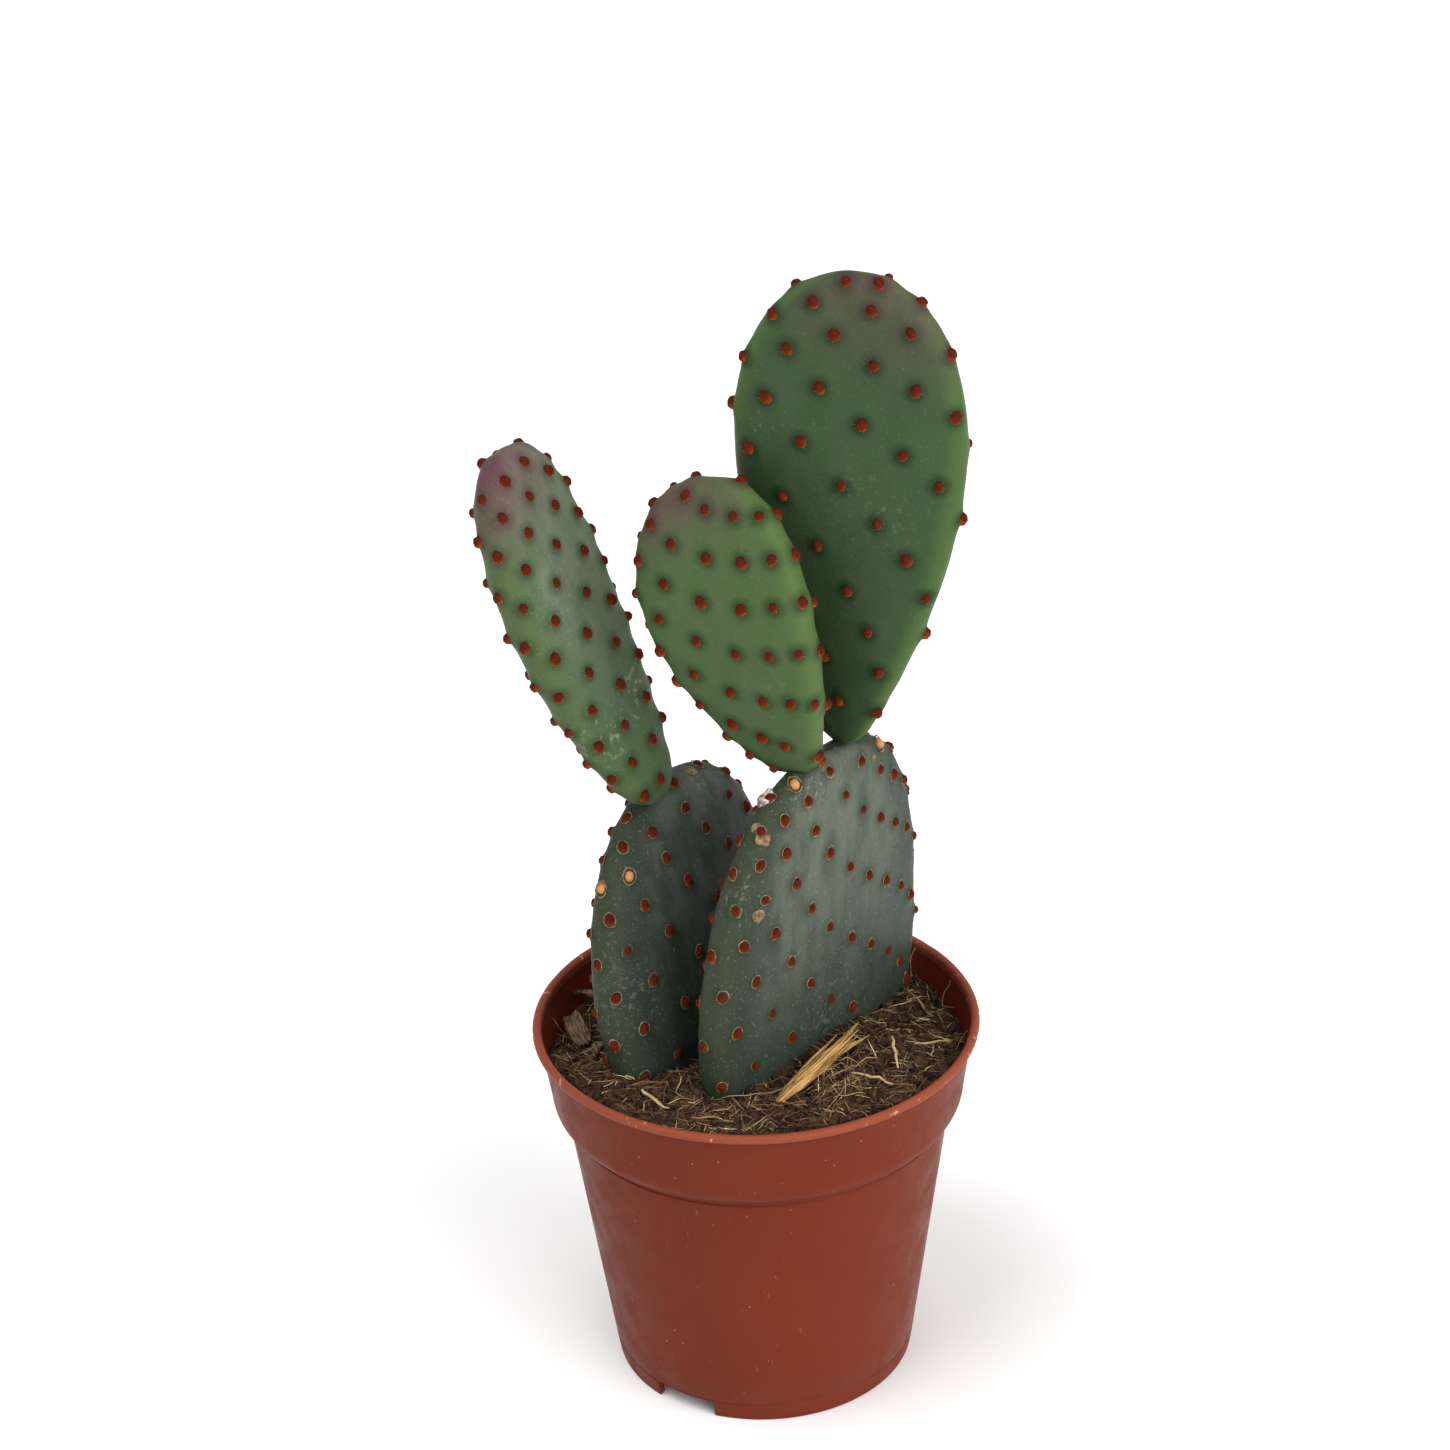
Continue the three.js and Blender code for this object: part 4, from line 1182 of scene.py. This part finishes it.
class CACTUS_OT_litter(bpy.types.Operator):
    """Lay the split wood, the chip of bark, straws and long fibres on the soil"""

    bl_idname = "cactus.litter"
    bl_label = "Litter"

    def execute(self, context):
        self.splinter()
        self.bark()
        self.straws()
        return {"FINISHED"}

    def splinter(self):
        """A flat splinter, narrow at one end and frayed at the other, built up of many strands."""
        rng = random.Random(5)
        start, end = np.array(SPLINTER_FROM), np.array(SPLINTER_TO)
        ahead = (end - start) / np.linalg.norm(end - start)
        aside = np.array((-ahead[1], ahead[0]))
        strands = []
        for k in range(19):
            share = (k - 9) / 9
            first = start + aside * share * 0.6 + ahead * rng.uniform(-1.4, 1.6) * (1 - abs(share))
            reach = rng.uniform(0.6, 0.97) if abs(share) > 0.4 else rng.uniform(0.86, 1.05)
            last = start + (end - start) * reach + aside * (share * 1.6 + rng.gauss(0, 0.2))
            path = []
            for t in np.linspace(0, 1, 9):
                swell = aside * share * 0.7 * math.sin(math.pi * t)
                x, y = first + (last - first) * t + swell
                lift = 2.0 + 0.45 * math.cos(share * 1.4) + rng.gauss(0, 0.09) + 0.7 * t ** 4
                path.append((x, y, self.splinter_height(t) + lift))
            width = rng.uniform(0.42, 0.72)
            widths = [width * w for w in (0.3, 0.8, 1, 1, 1, 0.95, 0.85, 0.6, 0.2)]
            strands.append(strand(path, widths, 6, 0.9))
            paint(strands[-1], "tone", rng.uniform(0.1, 0.95))
        for k in range(4):
            first = start + (end - start) * (0.5 + 0.08 * k) - aside * 0.8
            last = end + aside * (-3.4 + 0.6 * k) - ahead * (2.5 + 1.6 * k)
            path = [(*(first + (last - first) * t), self.splinter_height(0.75) + 2.1 + 0.6 * t)
                    for t in np.linspace(0, 1, 6)]
            strands.append(strand(path, [0.3, 0.5, 0.45, 0.35, 0.28, 0.12]))
            paint(strands[-1], "tone", 0.8)
        piece = join_pieces(strands)
        activate(piece)
        bpy.ops.object.shade_smooth_by_angle(angle=math.radians(50))
        heading = math.atan2(ahead[1], ahead[0])
        wood = split_wood_material("split straw-coloured wood", (0.52, 0.31, 0.1),
                                   (0.16, 0.075, 0.022), heading)
        finish_piece(piece, "frayed_splinter", wood, "dry_wood", "wood_splinter")

    def splinter_height(self, t):
        """Height of the underside of the splinter, a straight line between its ends."""
        low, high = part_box("wood_splinter")
        first, last = low[2] / MM - 0.6, high[2] / MM - 2.9
        return first + (last - first) * t

    def bark(self):
        """A curled flake of bark that leans on the wall, with two smaller ones."""
        flakes = []
        low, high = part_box("bark_chip")
        middle = from_frame([(a + b) / 2 for a, b in zip(low, high)])
        heading = math.atan2(CHIP_TO[1] - CHIP_FROM[1], CHIP_TO[0] - CHIP_FROM[0])
        for spot, size, turn, roll, seed in (
                (middle, (11.0, 3.4, 0.7), heading, 0.35, 1),
                (middle + (2.5, 9.5, 1.2), (7.5, 2.6, 0.6), heading + 0.7, -0.3, 2),
                (middle + (4.5, -7.5, 0.0), (5.0, 2.2, 0.6), heading - 0.9, 0.2, 3)):
            deselect()
            bpy.ops.mesh.primitive_cube_add(size=1)
            flake = bpy.context.object
            apply_modifier(flake, "SUBSURF", subdivision_type="SIMPLE", levels=4, render_levels=4)
            points = points_of(flake)
            for n, (x, y, z) in enumerate(points):
                rough = noise.noise(Vector((x * 3, y * 9, z * 2 + seed * 7)))
                edge = 1 - 0.35 * abs(2 * x) ** 4 + 0.25 * rough
                split = 0.18 * noise.noise(Vector((x * 1.5, y * 24, seed)))
                points[n] = (x * size[0] * (1 + 0.12 * rough), y * size[1] * edge,
                             z * size[2] * (1 - 0.4 * abs(2 * y)) + (y * 2) ** 2 * 0.5 + split
                             + 0.6 * math.cos(x * 4))
            move_points(flake, points * MM)
            paint(flake, "tone", 0.5)
            flake.data.transform(Matrix.Translation(to_frame(spot)) @ Matrix.Rotation(turn, 4, "Z")
                                 @ Matrix.Rotation(roll, 4, "X"))
            flakes.append(flake)
        piece = join_pieces(flakes)
        activate(piece)
        bpy.ops.object.shade_smooth_by_angle(angle=math.radians(50))
        wood = split_wood_material("dead bark", (0.2, 0.125, 0.07), (0.04, 0.022, 0.012), heading)
        finish_piece(piece, "curled_bark_chips", wood, "dry_bark", "bark_chip")

    def straws(self):
        pieces = []
        for n, straw in enumerate(STRAWS):
            path = soil_path(*straw["ends"], 6, straw["lift"], 0.25, n)
            widths = [straw["width"] * w for w in (0.7, 0.95, 1, 1, 0.95, 0.8, 0.5)]
            piece = strand(path, widths, 6, 0.6)
            paint(piece, "tone", straw["tone"])
            pieces.append(piece)
        pieces.extend(self.long_fibres())
        piece = join_pieces(pieces)
        activate(piece)
        bpy.ops.object.shade_smooth_by_angle(angle=math.radians(60))
        finish_piece(piece, "straws_and_long_fibres", fibre_material(), "potting_soil")

    def long_fibres(self):
        """Thin fibres: one against the pad in front, some on the wall, and a fuzzy clump."""
        pad = PADS["base_pad_right"]
        touch = pad_point(pad, 0.46, 2.42)[0] + outward(pad, 0.46, 2.42) * 0.45
        foot = np.array((6.8, -4.4, float(soil_top(6.8, -4.4)) + 0.4))
        hanging = [touch + (foot - touch) * t - np.array((0, 1.5, 1.1)) * math.sin(math.pi * t)
                   for t in np.linspace(0, 1, 9)]
        runs = [(hanging, 0.34, 0.62)]
        rng = random.Random(23)
        for angle, rise in ((0.62, 6.5), (0.3, 5.0), (2.9, 4.5), (2.3, 5.5), (1.9, 4.0), (-0.2, 4.2)):
            run = []
            for t in np.linspace(0, 1, 8):
                a = angle + 0.06 * t + 0.02 * math.sin(5 * t)
                base = float(soil_top(38 * math.cos(a), 38 * math.sin(a)))
                z = min(base + rise * t ** 0.8, POT_HEIGHT - 1.2)
                r = float(inner_radius(z)) - 0.35 - 1.6 * (1 - t)
                run.append(np.array((r * math.cos(a), r * math.sin(a), z)))
            runs.append((run, 0.2, 0.75))
        for _ in range(46):
            x, y = 14.5 + rng.gauss(0, 2.3), -21.5 + rng.gauss(0, 2.6)
            heading, length = rng.uniform(0, TURN), rng.uniform(2.5, 6.0)
            bend = rng.gauss(0, 0.9)
            run = []
            for t in np.linspace(-0.5, 0.5, 6):
                a = x + length * t * math.cos(heading) - bend * (0.25 - t * t) * math.sin(heading)
                b = y + length * t * math.sin(heading) + bend * (0.25 - t * t) * math.cos(heading)
                over = 0.7 + 1.3 * rng.random() * (1 - 4 * t * t)
                run.append(np.array((a, b, float(soil_top(a, b)) + over)))
            runs.append((run, 0.17, rng.uniform(0.5, 0.9)))
        for run, width, tone in runs:
            count = len(run)
            widths = [width * (0.45 + 0.55 * math.sin(math.pi * (k + 0.5) / count))
                      for k in range(count)]
            piece = strand(run, widths, 5, 0.9)
            paint(piece, "tone", tone)
            yield piece


# Pads

def tuft_seats(name, trees):
    """Seats of all tufts of a pad that stand clear of each other, of the soil and of other pads."""
    pad = PADS[name]
    seats = []
    for n in TUFT_NUMBERS:
        at = tuft_seat(pad, n)
        if not at:
            continue
        seat = pad_point(pad, *at)[0]
        if any(np.linalg.norm(seat - other["seat"]) <= TUFT_SPACING for other in seats):
            continue
        if pad["kind"] == "old" and seat[2] < float(soil_top(seat[0], seat[1])) + 0.9:
            continue
        if any(too_close(tree, seat) for other, tree in trees.items() if other != name):
            continue
        seats.append({"seat": seat, "normal": outward(pad, *at), "at": at})
    return seats


def too_close(tree, point):
    near, normal, _, distance = tree.find_nearest(Vector(point))
    inside = (Vector(point) - near).dot(normal) < 0
    return inside or distance < TUFT_CLEARANCE


def swelling(pad, distance):
    """How far the skin stands out at this distance from the middle of a tuft, mm."""
    if pad["kind"] == "old":
        return 0.22 * np.exp(-(distance / 2.0) ** 2)
    return 0.5 * np.exp(-(distance / 2.2) ** 2)


def skin_of(name, seats, spacing):
    """A pad's skin: a sphere drawn out to the pad, with a low swelling under every tuft."""
    pad = PADS[name]
    girth = 4.4 * pad["half_width"]
    rings = int(math.pi / 2 * pad["length"] / spacing)
    segments = int(girth / spacing)
    deselect()
    bpy.ops.mesh.primitive_uv_sphere_add(segments=segments, ring_count=rings, radius=1)
    skin = bpy.context.object
    ball = points_of(skin)
    u = np.clip((ball[:, 2] + 1) / 2, 0, 1)
    share = np.mod(-np.arctan2(ball[:, 1], ball[:, 0]) / TURN, 1)
    angle = np.zeros(len(u))
    for level in np.unique(u.round(6)):
        ring = np.abs(u - level) < 2e-6
        angle[ring] = girth_angles(*half_sizes(pad, max(level, 1e-4)), share[ring])
    points = pad_point(pad, u, angle)
    move_points(skin, to_frame(points))
    face_outwards(skin)
    tree = tree_of(seats)
    near = np.array([tree.find(Vector(point))[2] for point in points])
    across = np.abs(np.cos(angle)) ** SQUARENESS
    relief = swelling(pad, near) + folds(name, pad, u, angle, points)
    move_points(skin, to_frame(points + normals_of(skin) * relief[:, None]))
    paint(skin, "tuft_distance", np.minimum(near, 8))
    paint(skin, "margin", across ** 3)
    # Bloom fades towards the foot, partly real wax and partly painted light on the upper pad and shade
    # low down
    paint(skin, "bloom", smoothstep((u - 0.12) / 0.75))
    paint(skin, "blush", blush(pad, u, angle))
    paint(skin, "scuff", scuffs(name, points))
    activate(skin)
    bpy.ops.object.shade_smooth()
    return skin


def tree_of(seats):
    """The seats of a pad's tufts, ready to find the one nearest to a point."""
    tree = KDTree(len(seats))
    for n, seat in enumerate(seats):
        tree.insert(Vector(seat["seat"]), n)
    tree.balance()
    return tree


def folds(name, pad, u, angle, points):
    """Gentle unevenness of a grown pad, and upright folds low on the base pads, mm."""
    uneven = np.array([noise.noise(Vector(p) * 0.075) * 0.22 + noise.noise(Vector(p) * 0.3) * 0.05
                       for p in points])
    if pad["kind"] != "old":
        return uneven
    across = np.cos(angle) * pad["half_width"]
    low = smoothstep((0.55 - u) / 0.4)
    return uneven + low * 0.16 * np.sin(across * 0.9 + 4 * u) * np.abs(np.sin(angle))


def blush(pad, u, angle):
    """Purple on the upper end of a young pad, and further down on one of its margins."""
    lean = 0.5 + 0.5 * np.cos(angle - pad["blush_angle"])
    reach = 0.9 - 0.2 * lean
    return pad["blush"] * smoothstep((u - reach) / (1.06 - reach)) * (0.35 + 0.65 * lean)


def scuffs(name, points):
    strength = np.zeros(len(points))
    for u, angle, reach, most in SCUFFS.get(name, ()):
        middle = pad_point(PADS[name], u, angle)[0]
        distance = np.linalg.norm(points - middle, axis=1)
        strength = np.maximum(strength, most * smoothstep(1.4 - distance / reach))
    return strength


def all_seats():
    trees = {name: pad_tree(pad) for name, pad in PADS.items()}
    return {name: tuft_seats(name, trees) for name in PADS}


class CACTUS_OT_pads(bpy.types.Operator):
    """Model the skins of the five pads, with a swelling under every tuft"""

    bl_idname = "cactus.pads"
    bl_label = "Pads"

    def execute(self, context):
        settings = context.scene.cactus_pads
        skins = {kind: skin_material(look, getattr(settings, kind + "_colour"))
                 for kind, look in SKINS.items()}
        for name, seats in all_seats().items():
            kind = PADS[name]["kind"]
            skin = skin_of(name, seats, settings.spacing / MM)
            finish_piece(skin, name + "_skin", skins[kind], SKINS[kind]["slot"], name)
        return {"FINISHED"}


# Tufts

def tuft_sample(seed, settings, dry=False):
    """A dense oval dome of bristles on the origin, standing along Z, with loose tips round it."""
    rng = random.Random(seed)
    radius, height = settings.radius / MM, settings.height / MM
    deselect()
    bpy.ops.mesh.primitive_uv_sphere_add(segments=8, ring_count=4, radius=MM)
    dome = bpy.context.object
    points = points_of(dome)
    for n, point in enumerate(points):
        uneven = 1 + 0.12 * noise.noise(Vector(point / MM) * 1.6 + Vector((seed * 5, 0, 0)))
        points[n] = point * uneven * (radius, 1.2 * radius, height)
    move_points(dome, points)
    paint(dome, "tone", 1.4 if dry else 0.38 - 0.33 * points[:, 2] / settings.height)
    activate(dome)
    bpy.ops.object.shade_smooth()
    pieces = [dome]
    for k in range(settings.bristles):
        angle = TURN * (k + rng.uniform(0.2, 0.8)) / settings.bristles
        tilt = rng.uniform(0.45, 1.25)
        reach = radius * rng.uniform(0.6, 0.84)
        deselect()
        bpy.ops.mesh.primitive_cone_add(
            vertices=3, radius1=0.13 * MM, radius2=0, depth=reach * MM,
            location=(0, 0, reach / 2 * MM))
        bristle = bpy.context.object
        root = Vector((0.5 * radius * math.cos(angle), 0.6 * radius * math.sin(angle), 0)) * MM
        lean = Matrix.Rotation(angle, 4, "Z") @ Matrix.Rotation(tilt, 4, "Y")
        bristle.data.transform(Matrix.Translation(root) @ lean @ bristle.matrix_world)
        bristle.matrix_world = Matrix()
        paint(bristle, "tone", 1.8 if dry else 0.3 + 0.35 * tilt + rng.gauss(0, 0.08))
        pieces.append(bristle)
    return join_pieces(pieces[::-1])


def ring_sample():
    """The low ring of dried felt round a tuft on an old pad."""
    deselect()
    bpy.ops.mesh.primitive_torus_add(
        major_segments=12, minor_segments=4, major_radius=1.06 * MM, minor_radius=0.13 * MM)
    ring = bpy.context.object
    points = points_of(ring)
    for n, point in enumerate(points):
        points[n] = point * (1 + 0.14 * noise.noise(Vector(point / MM) * 1.6))
    points[:, 2] *= 0.75
    move_points(ring, points)
    return ring


def upright(seat, normal, turn, scale, sink=0.0):
    """A matrix that stands a sample on the skin."""
    stand = Vector(normal).to_track_quat("Z", "Y").to_matrix().to_4x4()
    spot = to_frame(seat - normal * sink)
    return (Matrix.Translation(spot) @ stand @ Matrix.Rotation(turn, 4, "Z")
            @ Matrix.Diagonal((*scale, 1)))


def is_dry(name, at):
    """Whether a tuft has dried to straw."""
    for u, angle in DRY_TUFTS.get(name, ()):
        turn = math.remainder(at[1] - angle, TURN)
        if abs(at[0] - u) < 0.04 and abs(turn) < 0.4:
            return True
    return False


class CACTUS_OT_tufts(bpy.types.Operator):
    """Set a dome of bristles on every areole, with felt rings on the old pads"""

    bl_idname = "cactus.tufts"
    bl_label = "Bristle Tufts"

    def execute(self, context):
        settings = context.scene.cactus_tufts
        samples = [tuft_sample(seed, settings) for seed in range(TUFT_SAMPLES)]
        samples.append(tuft_sample(9, settings, dry=True))
        ring = ring_sample()
        bristles, felt = bristle_material(), felt_material()
        rng = random.Random(3)
        for name, seats in all_seats().items():
            pad = PADS[name]
            slot = SKINS[pad["kind"]]["slot"]
            stand_out = float(swelling(pad, 0.0))
            brushes, rings = [], []
            for seat in seats:
                dry = is_dry(name, seat["at"])
                size = rng.uniform(0.86, 1.14) * (0.92 if pad["kind"] == "old" else 1.0)
                which = TUFT_SAMPLES if dry else rng.randrange(TUFT_SAMPLES)
                turn = rng.gauss(0, 0.4) + math.pi * rng.randrange(2)
                point = seat["seat"] + seat["normal"] * stand_out
                brushes.append((which, upright(point, seat["normal"], turn, (size,) * 3, 0.15), {}))
                wide = 1.25 if dry else rng.uniform(0.9, 1.08)
                oval = (wide, 1.2 * wide, wide)
                rings.append((0, upright(point, seat["normal"], turn, oval, 0.08), {}))
            tufts = join_copies(samples, brushes)
            self.light_lower_side(tufts, seats)
            finish_piece(tufts, name + "_bristles", bristles, slot)
            if pad["kind"] == "old":
                felt_rings = join_copies([ring], rings)
                activate(felt_rings)
                bpy.ops.object.shade_smooth()
                finish_piece(felt_rings, name + "_felt_rings", felt, slot)
        discard(samples + [ring])
        return {"FINISHED"}

    def light_lower_side(self, tufts, seats):
        """Bristles that point down are a lighter orange than those that point up."""
        points = from_frame(points_of(tufts))
        tree = tree_of(seats)
        tone = np.empty(len(points))
        tufts.data.attributes["tone"].data.foreach_get("value", tone)
        for n, point in enumerate(points):
            seat, _, _ = tree.find(Vector(point))
            down = (seat[2] - point[2]) / 1.4
            if tone[n] < 1.2:
                tone[n] = min(1.1, max(0.0, tone[n] + 0.5 * down))
        paint(tufts, "tone", tone)


# Corky spots and the scar

class CACTUS_OT_marks(bpy.types.Operator):
    """Add the corky spots and the withered scar to the base pads"""

    bl_idname = "cactus.marks"
    bl_label = "Marks"

    def execute(self, context):
        felt = felt_material()
        for name, spots in CORK.items():
            scabs = [self.scab(PADS[name], spot["at"], spot["radius"], n)
                     for n, spot in enumerate(spots)]
            finish_piece(join_pieces(scabs), name + "_corky_spots", felt, "old_pad_skin")
        scar = self.scab(PADS["base_pad_right"], SCAR_AT, 1.9, 8, 0.55)
        finish_piece(scar, "withered_scar", scar_material(), "old_pad_skin")
        return {"FINISHED"}

    def scab(self, pad, at, radius, seed, height=0.38):
        """A low rough lump on the skin."""
        deselect()
        bpy.ops.mesh.primitive_ico_sphere_add(subdivisions=4, radius=1)
        scab = bpy.context.object
        points = points_of(scab)
        for n, point in enumerate(points):
            rough = noise.noise(Vector(point) * 1.3 + Vector((seed * 3, 0, 0)))
            fine = noise.noise(Vector(point) * 4.5 + Vector((0, seed * 3, 0)))
            points[n] = point * (1 + 0.4 * rough + 0.14 * fine)
        points[:, 2] *= height
        move_points(scab, points * radius * MM)
        seat, normal = pad_point(pad, *at)[0], outward(pad, *at)
        scab.data.transform(upright(seat, normal, seed, (1, 1, 1), 0.05))
        activate(scab)
        bpy.ops.object.shade_smooth()
        return scab


# Stage

class CACTUS_OT_stage(bpy.types.Operator):
    """Set up the pale floor, the soft light and the camera"""

    bl_idname = "cactus.stage"
    bl_label = "Stage"

    def execute(self, context):
        settings = context.scene.cactus_stage
        self.floor()
        self.lights(context, settings)
        self.camera(context, settings)
        context.scene.view_settings.view_transform = "Standard"
        return {"FINISHED"}

    def floor(self):
        deselect()
        bpy.ops.mesh.primitive_plane_add(size=12)
        floor = bpy.context.object
        floor.name = "floor"
        material, _, _ = new_material("pale floor", {
            "Base Color": (0.9, 0.9, 0.9, 1), "Roughness": 0.9, "Specular IOR Level": 0.05})
        floor.data.materials.append(material)
        floor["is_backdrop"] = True

    def lights(self, context, settings):
        world = bpy.data.worlds.new("even sky")
        world.use_nodes = True
        sky = world.node_tree.nodes["Background"]
        sky.inputs["Color"].default_value = (1, 1, 1, 1)
        sky.inputs["Strength"].default_value = settings.sky
        context.scene.world = world
        for name, towards, strength, width in (
                ("soft_key", (-1.05, -0.75, 2.7), settings.key, 35),
                ("soft_side", (2.25, -2.25, 1.25), settings.side, 60)):
            lamp = bpy.data.lights.new(name, "SUN")
            lamp.angle = math.radians(width)
            lamp.energy = strength
            light = bpy.data.objects.new(name, lamp)
            light.rotation_euler = Vector(towards).to_track_quat("Z", "Y").to_euler()
            light.location = (towards[0] * 0.3, towards[1] * 0.3, towards[2] * 0.3)
            context.collection.objects.link(light)

    def camera(self, context, settings):
        """Looks along +Y and down at the plant, with a slight roll."""
        elevation, roll = math.radians(26.697), math.radians(-1.924)
        distance = 637.52
        ahead = Vector((0, math.cos(elevation), -math.sin(elevation)))
        flat = Vector((1, 0, 0))
        upright_way = flat.cross(ahead)
        right = flat * math.cos(roll) + upright_way * math.sin(roll)
        up = upright_way * math.cos(roll) - flat * math.sin(roll)
        aim = Vector(to_frame((-3.991, 0, 135.12)))
        lens = bpy.data.cameras.new("studio_camera")
        lens.sensor_width = 36
        lens.lens = settings.lens
        lens.clip_start, lens.clip_end = 0.01, 50
        camera = bpy.data.objects.new("studio_camera", lens)
        turn = Matrix((right, up, -ahead)).transposed().to_4x4()
        camera.matrix_world = Matrix.Translation(aim - ahead * distance * MM) @ turn
        context.collection.objects.link(camera)
        context.scene.camera = camera


# Sidebar

class CACTUS_PT_sidebar(bpy.types.Panel):
    """Lists the pieces of the plant and their settings"""

    bl_label = "Potted Cactus"
    bl_idname = "CACTUS_PT_sidebar"
    bl_space_type = "VIEW_3D"
    bl_region_type = "UI"
    bl_category = "Cactus"

    def draw(self, context):
        for operator, group in STEPS:
            box = self.layout.box()
            box.operator(operator.bl_idname)
            if group:
                settings = getattr(context.scene, group)
                for name in type(settings).__annotations__:
                    box.prop(settings, name)


STEPS = (
    (CACTUS_OT_stage, "cactus_stage"),
    (CACTUS_OT_pot, "cactus_pot"),
    (CACTUS_OT_soil, "cactus_soil"),
    (CACTUS_OT_litter, None),
    (CACTUS_OT_pads, "cactus_pads"),
    (CACTUS_OT_tufts, "cactus_tufts"),
    (CACTUS_OT_marks, None),
)
GROUPS = {
    "cactus_stage": StageSettings,
    "cactus_pot": PotSettings,
    "cactus_soil": SoilSettings,
    "cactus_pads": PadSettings,
    "cactus_tufts": TuftSettings,
}
CLASSES = (*GROUPS.values(), *(operator for operator, _ in STEPS), CACTUS_PT_sidebar)


def register():
    for cls in CLASSES:
        bpy.utils.register_class(cls)
    for name, group in GROUPS.items():
        setattr(bpy.types.Scene, name, PointerProperty(type=group))


def unregister():
    for name in GROUPS:
        delattr(bpy.types.Scene, name)
    for cls in reversed(CLASSES):
        bpy.utils.unregister_class(cls)


def main():
    register()
    for operator, _ in STEPS:
        group, name = operator.bl_idname.split(".")
        getattr(getattr(bpy.ops, group), name)()
    boxes = {"cad": CAD_BOX, "visual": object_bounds()}
    {name: [list(corner) for corner in box] for name, box in boxes.items()}


if __name__ == "__main__":
    main()
